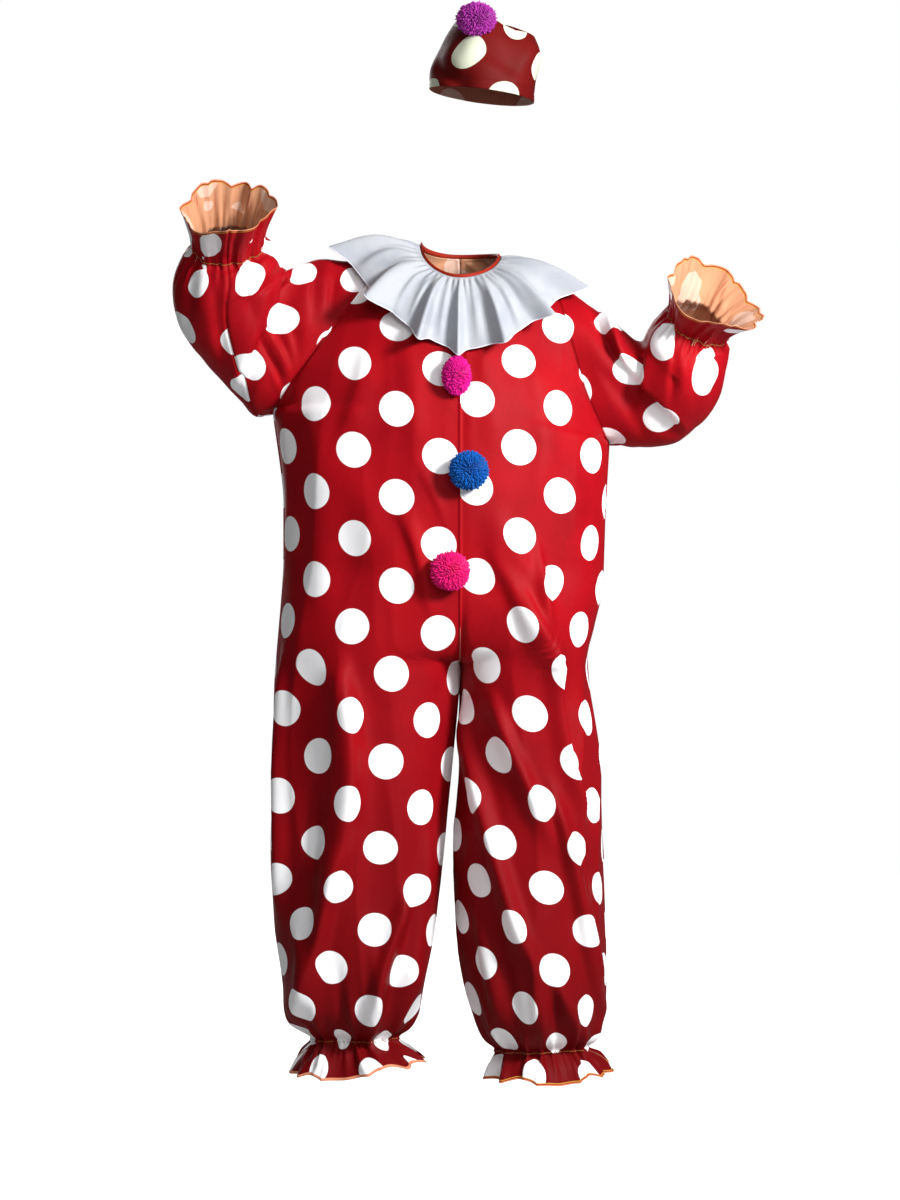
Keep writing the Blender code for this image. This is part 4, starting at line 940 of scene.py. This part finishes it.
def buildSleeve(side):
    piece, tube = "sleeve_" + side, sleeves[side]
    turn = np.linspace(0.0, 1.0, sleeves["columns"] + 1)
    seam = sleeves["seam"][side]
    later = [ringPoints(tube, place, turn + seam[place]) for place in range(1, len(tube["depth"]))]
    sections = np.stack([armholeRing(side, turn)] + later)
    stations = finely(tube["rows"][:-1].astype(int))
    base = throughSections(sections, stations)
    middle = (sections[:, 0] + sections[:, sleeves["columns"] // 2]) / 2
    middle = throughSections(middle[:, None], stations)
    out = pastElastic(base[:, sleeves["columns"] // 4], stations, sleeves["elastic"], False)
    wave, drop = frillWave(turn, out)
    along = unit(middle[-1] - middle[-8])
    apart = np.linalg.norm(np.gradient(base, axis=0), axis=2)
    room = fade(apart / apart.mean(axis=1)[:, None] - 0.3, 0.35)  # none where the rows crowd together
    wave *= sleeves["puckers"] * fade(stations - sleeves["puckersFrom"], 2.0)[:, None] * room
    base = base + unit(base - middle) * wave[..., None] + along * drop[..., None]
    normal = normalsOf(base, -signOf[side], closed=True)
    turned = turn[None, :] + curveThrough(seam, stations)[:, None]
    inFront = fade(np.sin(2 * np.pi * turned), 0.7) * fade(stations, 1.0)[:, None]
    height = inFront * foldHeight(base, sleeveFolds[piece])
    soft = streaks(base, 16.0, 4.0, 0.6) + 0.5 * streaks(base, 37.0, 9.0, 0.7)
    soft = sleeves["soft"] * soft + sleeves["wrinkles"] * creases(base, 11.0, 6.0, 0.4)
    height += fade(stations, 0.6)[:, None] * soft
    around = arcLengths(base)
    fromSeam = np.minimum(around, around[:, -1:] - around)
    ditch = np.exp(-((fromSeam / sleeves["seamWidth"]) ** 2))
    height -= sleeves["seamDitch"] * fade(stations - 0.3, 0.6)[:, None] * ditch
    height *= room
    height[:, -1] = height[:, 0]
    points = base + normal * height[..., None]
    points[:, -1] = points[:, 0]
    flat = layFlat(base, stations > sleeves["gathered"])
    x, z, lean = sleevePrint[side]
    away = np.hypot(points[..., 0] - x, points[..., 2] - z)
    away = np.where(np.sin(2 * np.pi * turned) > 0, away, 1.0)
    row, column = np.unravel_index(np.argmin(away), away.shape)
    up = flat[row + 3, column] - flat[row - 3, column]
    turnBy = math.atan2(up[0], up[1]) + lean
    turning = np.array([[math.cos(turnBy), math.sin(turnBy)], [-math.sin(turnBy), math.cos(turnBy)]])
    printUv = (flat - flat[row, column]) @ turning
    toHem = np.cumsum(np.linalg.norm(np.diff(base[::-1], axis=0, prepend=base[-1:]), axis=2), axis=0)[::-1]
    around = np.repeat(turn[None, :] * arcLengths(points)[-1, -1], len(points), axis=0)
    grids = [points, printUv, np.stack([around, toHem], axis=2)]
    if side == "left":
        grids = [grid[:, ::-1] for grid in grids]
    materials = (redPrint, redInside, peachEdge)
    addCloth(piece, grids, materials, sleeves["wall"], closed=True)
    row = np.argmin(np.abs(stations - sleeves["elastic"]))
    elasticStitches("wrist_stitches_" + side, grids[0][[row - 1, row + 1], :-1])


for side in ("right", "left"):
    buildSleeve(side)
print("sleeves made")


collar = {
    # the outer edge, every eighth of a turn from the centre front toward the wearer's left
    "edge": (
        (0.000, -0.160, -0.160),
        (0.122, -0.150, -0.112),
        (0.198, -0.010, -0.040),
        (0.130, 0.138, -0.070),
        (0.000, 0.166, -0.120),
        (-0.130, 0.138, -0.060),
        (-0.206, -0.010, 0.022),
        (-0.122, -0.146, -0.092),
    ),
    "columns": 560,
    "rows": 44,
    "lift": 0.0036,
    "arch": 0.019,
    "waves": 13,
    "waveLean": 1.15,
    "waveDepth": 0.0150,
    "scallop": 0.0160,
    "tucks": 52,
    "tuckDepth": 0.0017,
    "tuckReach": (0.22, 0.38),  # shares of the collar's depth
    "softDepth": 0.0030,
    "wall": 0.0007,
    "edgeRadius": 0.0011,
}
binding = {
    "inside": -0.0012,
    "outside": 0.0036,
    "height": 0.0060,
    "gap": 0.0006,
    "girth": 0.018,
    "columns": 320,
    "sides": 20,
}


# The neck edge from the centre front toward the left: its points, their outward normals and the way off.
def necklineRing(turns):
    quarters = []
    rising = np.linspace(neck, shoulder, 41)
    for side, face, forward in (
        ("left", "front", True),
        ("left", "back", False),
        ("right", "back", True),
        ("right", "front", False),
    ):
        edge = panelBase(side, face, np.array([0.0, 0.02]), rising)[:, 0]
        quarters.append((edge if forward else edge[::-1])[:-1])
    points = np.concatenate(quarters)
    places = np.arange(len(points)) / len(points)
    points = np.stack([np.interp(turns, places, points[:, k], period=1.0) for k in range(3)], axis=1)
    for k in range(6):
        points = (np.roll(points, 1, axis=0) + 2 * points + np.roll(points, -1, axis=0)) / 4
    along = unit(np.roll(points, -1, axis=0) - np.roll(points, 1, axis=0))
    level = unit(np.cross(along, (0.0, 0.0, 1.0)))  # straight out from the neck
    front = (along[:, :1] ** 2) ** 1.5  # 1 at the centre front and back, 0 on the shoulders
    down = unit(level * (0.94 - 0.54 * front) + np.array([0.0, 0.0, -1.0]) * (0.34 + 0.57 * front))
    normal = unit(np.cross(down, along))
    normal *= np.sign(normal[:, 2:])
    return points, normal, -down


def closedCurve(knots, turns):  # a smooth closed curve through a table's points
    knots = np.array(knots)
    place = (turns % 1.0) * len(knots)
    low = np.floor(place).astype(int) % len(knots)
    t = (place - np.floor(place))[:, None]
    before, start, end, after = (knots[(low + k) % len(knots)] for k in (-1, 0, 1, 2))
    return hermite(start, (end - before) / 2, end, (after - start) / 2, t)


def pleats(turn, waves, lean):  # each wave climbs slowly and drops back steeply, to the wearer's left
    slow = np.sin(4 * np.pi * turn) + 0.6 * np.sin(10 * np.pi * turn + 1.0)
    angle = 2 * np.pi * waves * (turn + 0.009 * slow)
    share = 1.0 - 0.20 * (1.0 + np.sin(6 * np.pi * turn + 0.6))
    return share * (np.cos(angle + lean * np.sin(angle)) - 0.10)


def buildCollar():
    turn = np.linspace(0.0, 1.0, collar["columns"] + 1)
    turns = turn[:-1]
    share = np.linspace(0.0, 1.0, collar["rows"] + 1)[:, None, None]
    inner, normal, _ = necklineRing(turns)
    rim = closedCurve(collar["edge"], turns)
    inner = inner + normal * collar["lift"]
    base = inner + (rim - inner) * share
    base[..., 2] += collar["arch"] * np.sin(np.pi * share[..., 0])
    up = normalsOf(joined(base), -1.0, closed=True)[:, :-1]
    wave = pleats(turns, collar["waves"], collar["waveLean"])
    minor = 0.30 * pleats(turns + 0.03, 2 * collar["waves"] + 3, 0.5)
    share = share[..., 0]
    rise = share**0.85
    tuck = np.cos(2 * np.pi * collar["tucks"] * (turns + 0.002 * np.sin(2 * np.pi * 9 * turns)))
    shortest, longest = collar["tuckReach"]
    reach = shortest + (longest - shortest) * np.sin(2 * np.pi * collar["waves"] * turns) ** 2
    tucks = fade(share - 0.03, 0.08) * np.exp(-((share / reach) ** 2)) * tuck
    height = collar["waveDepth"] * rise * (wave + minor * np.sin(np.pi * share))
    height = height + collar["tuckDepth"] * tucks + collar["softDepth"] * rise * streaks(base, 16.0, 5.0, 1.0)
    outward = unit(rim - inner) * (collar["scallop"] * wave)[:, None]
    points = joined(base + up * height[..., None] + outward * share[..., None])
    places = gridOf(turn * arcLengths(points)[-1, -1], lengthsAlong(points[:, 0]))
    materials = (whiteCloth, whiteCloth, whiteEdge)
    addCloth("collar", (points, places, places), materials, collar["wall"], True, offset=0.0)
    closedThread("collar_edge_thread", points[-1, :-1], collar["edgeRadius"], whiteThread)


def buildBinding():
    turns = np.linspace(0.0, 1.0, binding["columns"] + 1)[:-1]
    point, normal, off = necklineRing(turns)
    upward = unit(off + np.array([0.0, 0.0, 1.0]))
    angle = np.linspace(0.0, 2 * np.pi, binding["sides"] + 1)[:-1]
    corner = np.stack([np.cos(angle), np.sin(angle)])
    corner = np.sign(corner) * np.abs(corner) ** 0.6
    inside, outside = binding["inside"], binding["outside"]
    across = (inside + outside) / 2 + (outside - inside) / 2 * corner[0]
    rise = binding["height"] / 2 * (1.0 + corner[1])
    points = point + off * binding["gap"] + normal * across[:, None, None] + upward * rise[:, None, None]
    points = joined(np.concatenate([points, points[:1]], axis=0))
    girth = np.linspace(0.0, binding["girth"], len(points))
    places = np.stack([arcLengths(points), np.repeat(girth[:, None], points.shape[1], axis=1)], axis=2)
    data = clothMesh("neck_binding_tape", points, places, places, closed=True)
    addPiece("neck_binding_tape", data, (bindingTape,), ("neck_binding",))


buildCollar()
buildBinding()
print("collar made")


hat = tableOf(
    tubeColumns,
    (
        (-0.050, -0.010, 0.284, 0.122, -0.010, 0.261, 0.090, 0, 12),
        (-0.048, -0.010, 0.316, 0.126, -0.010, 0.300, 0.090, 0, 12),
        (-0.033, -0.008, 0.348, 0.133, -0.008, 0.325, 0.085, 0, 12),
        (-0.014, -0.005, 0.380, 0.132, -0.005, 0.345, 0.078, 0, 14),
        (0.004, 0.000, 0.405, 0.126, 0.000, 0.364, 0.068, 0, 0),
    ),
)
hatMake = {
    "columns": 180,
    "topRows": 22,
    "dome": 0.008,
    "proud": 0.0004,  # how far the top's seam stands off the side's
    "sloping": 1.1,  # the top's length beside its length in plan
    "dent": 0.006,
    "dents": 5,
    "soft": 0.0016,
    "hemAt": 0.42,  # the row of hem stitches, as a station
    "hemDitch": 0.0008,
    "wall": 0.0007,
    "dot": (0.0167, 0.3277),
    "folds": (
        (-0.062, 0.330, 0.010, 0.266, 0.0, 0.010, 0.020, -0.010),
        (0.020, 0.352, 0.100, 0.300, 0.0, 0.014, 0.030, -0.004),
        (0.126, 0.350, 0.080, 0.270, 0.0, 0.014, 0.020, 0.005),
    ),
}


def buildHat():
    turn = 0.5 - np.linspace(0.0, 1.0, hatMake["columns"] + 1)
    sections = np.stack([ringPoints(hat, place, turn) for place in range(len(hat["depth"]))])
    stations = finely(hat["rows"][:-1].astype(int))
    top = len(hat["depth"]) - 1
    base = throughSections(sections, stations)
    normal = normalsOf(base, 1.0, closed=True)
    dent = hatMake["dent"] * fade(stations, top)[:, None] * gather(0.5 - turn, hatMake["dents"])[None, :]
    front = fade(np.sin(2 * np.pi * turn), 0.5)[None, :]
    height = dent + front * foldHeight(base, hatMake["folds"], 0.02)
    height += hatMake["soft"] * fade(top - stations, 0.6)[:, None] * streaks(base, 30.0, 3.0, 0.8)
    hem = np.exp(-(((stations - hatMake["hemAt"]) / 0.05) ** 2))[:, None]
    points = base + normal * (height - hatMake["hemDitch"] * hem)[..., None]
    points[:, -1] = points[:, 0]
    quarter, half, halfway = len(turn) // 4, len(turn) // 2, len(stations) // 2
    up = lengthsAlong(points[:, quarter])
    around = arcLengths(points)[halfway]
    dotX, dotZ = hatMake["dot"]
    frontLine = np.interp(dotX, points[halfway, :half, 0], around[:half])
    level = np.interp(dotZ, points[:, quarter, 2], up)
    places = gridOf(around - frontLine, up - level)
    materials = (hatPrint, hatInside, hatPrint)
    addCloth("hat_side", (points, places, places), materials, hatMake["wall"], closed=True)
    rim, last = points[-1], sections[-1]
    centre = rim[:-1].mean(axis=0)
    lid = unit(np.cross(last[0] - last[half], last[quarter] - last[3 * len(turn) // 4]))
    lid = lid if lid[2] > 0 else -lid
    share = np.linspace(0.0, 1.0, hatMake["topRows"] + 1)[:, None, None]
    rise = hatMake["dome"] * np.sin(np.pi / 2 * share) + hatMake["proud"]
    top = rim[None] + (centre - rim)[None] * share + lid * rise
    flat = np.stack([top[..., 0] * hatMake["sloping"], -top[..., 1]], axis=2)
    addCloth("hat_top", (top, flat, flat), materials, hatMake["wall"], closed=True)


buildHat()
print("hat made")


pompoms = {
    "count": 1300,
    "core": 0.60,
    "radius": 0.0013,
    "spread": 0.10,
    "shifts": (0.0, 17.3, 41.9),  # between the noises that bend a strand in X, Y and Z
    "past": 0.002,  # how far the tips may pass the solid's box
    "bends": (0.45, 0.70, 0.88, 1.0),  # where each strand's points stand, as shares of the way out
    "taper": (1.1, 1.1, 1.0, 0.62),
}


def buildPompom(node):
    low, high = (np.array(corner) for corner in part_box(node))
    middle, half = (low + high) / 2, (high - low) / 2
    backing = bmesh.new()
    bmesh.ops.create_icosphere(backing, subdivisions=4, radius=1.0)
    bmesh.ops.scale(backing, vec=Vector(half * pompoms["core"]), verts=backing.verts[:])
    bmesh.ops.translate(backing, vec=Vector(middle), verts=backing.verts[:])
    strands = []
    for k in range(pompoms["count"]):
        height = 1.0 - 2.0 * (k + 0.5) / pompoms["count"]
        turn = k * math.pi * (3.0 - math.sqrt(5.0))
        flat = math.sqrt(1.0 - height * height)
        way = np.array([flat * math.cos(turn), flat * math.sin(turn), height])
        jitter = noise.noise(Vector(way * 9.0 + middle * 40.0))
        spot = way * 31.0 - middle * 50.0
        bend = np.array([noise.noise(Vector(spot + shift)) for shift in pompoms["shifts"]])
        reach = 0.95 + pompoms["spread"] * jitter * 1.2
        share = np.array(pompoms["bends"])[:, None]
        spots = middle + half * (way * share * reach + bend * 0.10 * share * share)
        strands.append(np.clip(spots, low - pompoms["past"], high + pompoms["past"]))
    data = meshOfLines(node, strands, pompoms["radius"], 0, taper=pompoms["taper"])
    backing.from_mesh(data)
    backing.to_mesh(data)
    backing.free()
    data.shade_smooth()
    slot, material = yarns[node]
    addPiece(node + "_yarn", data, (material,), (node,))


for node in yarns:
    buildPompom(node)
print("pom-poms made")


setting = {
    "floor": {"size": 12.0, "place": (0.0, 1.0, -1.457)},
    "skyLight": 0.10,
    "floorGlow": 0.95,
    "key": {"place": (1.9, -2.0, 0.75), "size": 0.6, "power": 148.0},
    "fill": {"place": (0.6, -3.6, 1.2), "size": 2.4, "power": 55.0},
    "behind": {"place": (-1.4, 4.2, 1.2), "size": 2.4, "power": 190.0},
    "aim": (0.0, 0.0, -0.4),  # of the lights
    "camera": {"place": (-0.0165, -6.0, -0.5577), "film": 36, "seenHeight": 1.98},
}
bpy.ops.mesh.primitive_plane_add(size=setting["floor"]["size"], location=setting["floor"]["place"])
floor = bpy.context.object
floor.name = "floor"
floorMaterial, floorTree, floorShader = newMaterial("palePaper", 0.9, specular=0.1)
floorShader.inputs["Base Color"].default_value = (0.4, 0.4, 0.4, 1.0)
floorShader.inputs["Emission Color"].default_value = (1.0, 1.0, 1.0, 1.0)
shown = addNode(floorTree, "LightPath").outputs["Is Camera Ray"]
glow = addNode(floorTree, "Math", times, _0=shown, _1=setting["floorGlow"]).outputs[0]
floorTree.links.new(glow, floorShader.inputs["Emission Strength"])
floor.data.materials.append(floorMaterial)

world = bpy.data.worlds.new("softWhite")
world.use_nodes = True
sky = world.node_tree.nodes["Background"]
seen = addNode(world.node_tree, "LightPath").outputs["Is Camera Ray"]
light = addNode(world.node_tree, "MapRange", Value=seen)
light.inputs["To Min"].default_value = setting["skyLight"]
light.inputs["To Max"].default_value = 1.0
world.node_tree.links.new(light.outputs[0], sky.inputs["Strength"])
sky.inputs["Color"].default_value = (1.0, 1.0, 1.0, 1.0)
bpy.context.scene.world = world
bpy.context.scene.view_settings.view_transform = "Standard"


for name in ("key", "fill", "behind"):
    softbox = setting[name]
    lamp = bpy.data.lights.new(name, "AREA")
    lamp.size = softbox["size"]
    lamp.energy = softbox["power"]
    source = bpy.data.objects.new(name, lamp)
    source.location = softbox["place"]
    aim = Vector(setting["aim"]) - source.location
    source.rotation_euler = aim.to_track_quat("-Z", "Y").to_euler()
    bpy.context.scene.collection.objects.link(source)

camera = bpy.data.objects.new("camera", bpy.data.cameras.new("camera"))
view = setting["camera"]
camera.data.lens = view["film"] * -view["place"][1] / view["seenHeight"]
camera.location = view["place"]
camera.rotation_euler = (math.pi / 2, 0.0, 0.0)
bpy.context.scene.collection.objects.link(camera)
bpy.context.scene.camera = camera

print("setting made")
